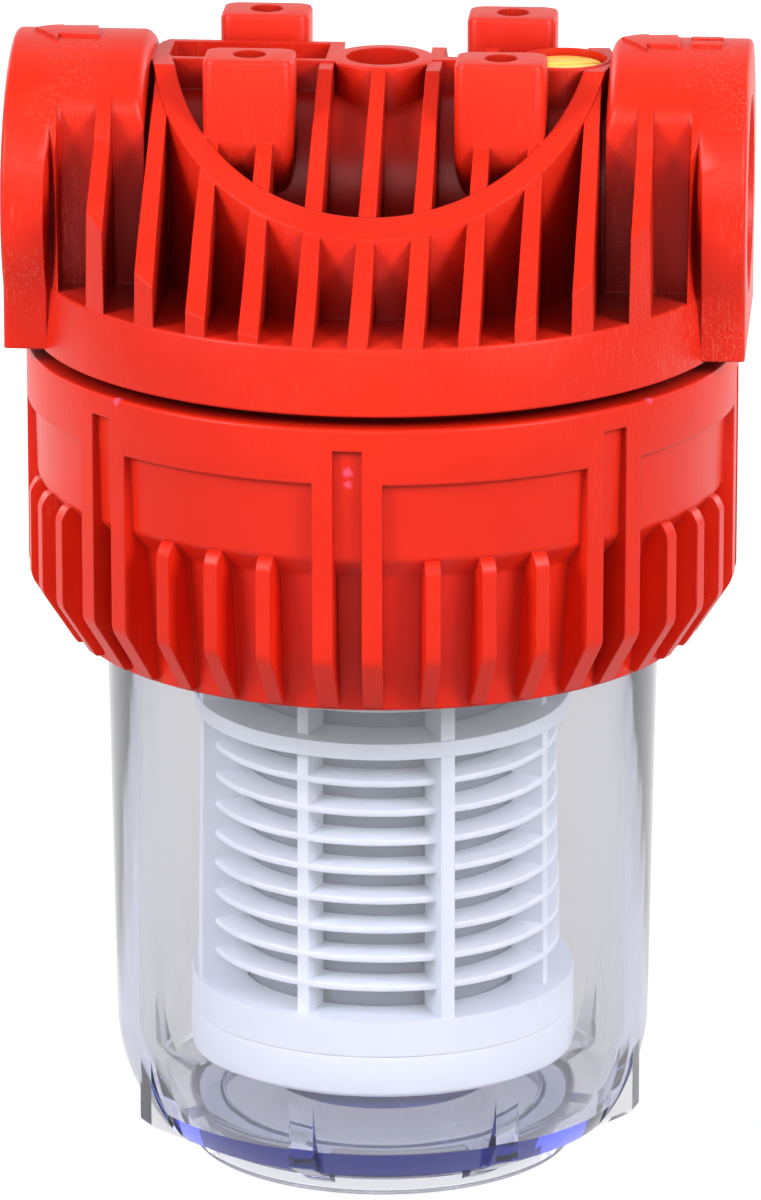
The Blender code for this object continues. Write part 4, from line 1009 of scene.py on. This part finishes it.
def views(field):
    """What the camera or a mirror sees, and what clear plastic sees; less after a diffuse bounce."""
    rays = field.node("ShaderNodeLightPath")
    bounced = field.maths("MINIMUM", field.out(rays, "Diffuse Depth"), 1.0)
    direct = field.maths("MAXIMUM", field.out(rays, "Is Camera Ray"), field.out(rays, "Is Glossy Ray"))
    through = field.out(rays, "Is Transmission Ray") * (1.0 - bounced * (1.0 - INSIDE_SHARE))
    return direct, through


print("light from all round:", WORLD_LEVEL, "of white")

# %% Lay the floor
BOWL_ROOM = 25.0
FLOOR_SIZE = 3.0
FLOOR_LOW, FLOOR_HIGH = (0.34, 0.34, 0.34, 1.0), (0.36, 0.36, 0.36, 1.0)
FLOOR_GLOW = 0.74
# Painted shadow: the floor's nearly dark glow near the filter, as clear plastic sees it.
FLOOR_SHADE_SEEN_THROUGH = 0.06
SHADOW_FROM, SHADOW_TO = 0.10, 0.36
BLACK, WHITE = (0.0, 0.0, 0.0, 1.0), (1.0, 1.0, 1.0, 1.0)

floor_bm = bmesh.new()
bmesh.ops.create_grid(floor_bm, x_segments=1, y_segments=1, size=FLOOR_SIZE)
floor_mesh = bpy.data.meshes.new("studio_floor")
floor_bm.to_mesh(floor_mesh)
floor_bm.free()
floor = bpy.data.objects.new("studio_floor", floor_mesh)
floor.location.z = -BOWL_ROOM * MM
bpy.context.scene.collection.objects.link(floor)

floor_white, formula, shader, place = new_material("studio_white")
cloud = formula.noise(place, 3.0, 2.0)
plug(formula, formula.mix(cloud, FLOOR_LOW, FLOOR_HIGH), shader.inputs["Base Color"])
seen, seen_through = views(formula)
away = formula.out(formula.node("ShaderNodeVectorMath", {"operation": "LENGTH"}, _0=place), "Value")
far = away.between(SHADOW_FROM, SHADOW_TO)
# Painted shadow: near the filter the glow drops. The camera then sees the lamps' real shadow, and clear
# plastic sees a painted dark floor.
near_shadow_level = seen * FLOOR_GLOW + seen_through * FLOOR_SHADE_SEEN_THROUGH
far_level = formula.maths("MAXIMUM", seen, seen_through)
glow = formula.maths("MULTIPLY_ADD", far, far_level - near_shadow_level, near_shadow_level)
plug(formula, formula.mix(glow, BLACK, WHITE), shader.inputs["Emission Color"])
shader.inputs["Emission Strength"].default_value = 1.0
shader.inputs["Roughness"].default_value = 0.9
shader.inputs["Specular IOR Level"].default_value = 0.1
floor_mesh.materials.append(floor_white)
print("floor", BOWL_ROOM, "mm under the foot")

# %% Hang the surroundings and the lamps
LAMPS = {
    "left_lamp": ((-1.15, -0.95, 0.95), 0.6, 21.0),
    "right_lamp": ((1.2, -0.95, 0.95), 0.6, 23.0),
    "front_lamp": ((0.0, -1.5, 0.9), 0.5, 5.0),
    "back_left_lamp": ((-1.1, 1.1, 0.6), 0.6, 6.0),
    "back_right_lamp": ((1.1, 1.1, 0.6), 0.6, 6.0),
}
world = bpy.data.worlds.new("studio")
bpy.context.scene.world = world
world.use_nodes = True
sky = Field(world.node_tree, None)
seen, seen_through = views(sky)
level = sky.maths("MAXIMUM", sky.maths("MAXIMUM", seen, seen_through), WORLD_LEVEL)
background = world.node_tree.nodes["Background"]
background.inputs["Color"].default_value = WHITE
plug(sky, level, background.inputs["Strength"])


def soft_lamp(name, place, size, power):
    """A square soft lamp that faces the middle of the filter."""
    data = bpy.data.lights.new(name, "AREA")
    data.shape = "SQUARE"
    data.size = size
    data.energy = power
    lamp = bpy.data.objects.new(name, data)
    lamp.location = place
    aim = Vector(place) - Vector((0, 0, LOOK_AT_Z * MM))
    lamp.rotation_euler = aim.to_track_quat("Z", "Y").to_euler()
    bpy.context.scene.collection.objects.link(lamp)


for name, (place, size, power) in LAMPS.items():
    soft_lamp(name, place, size, power)
bpy.context.scene.view_settings.view_transform = "Standard"
print("lamps:", len(LAMPS))
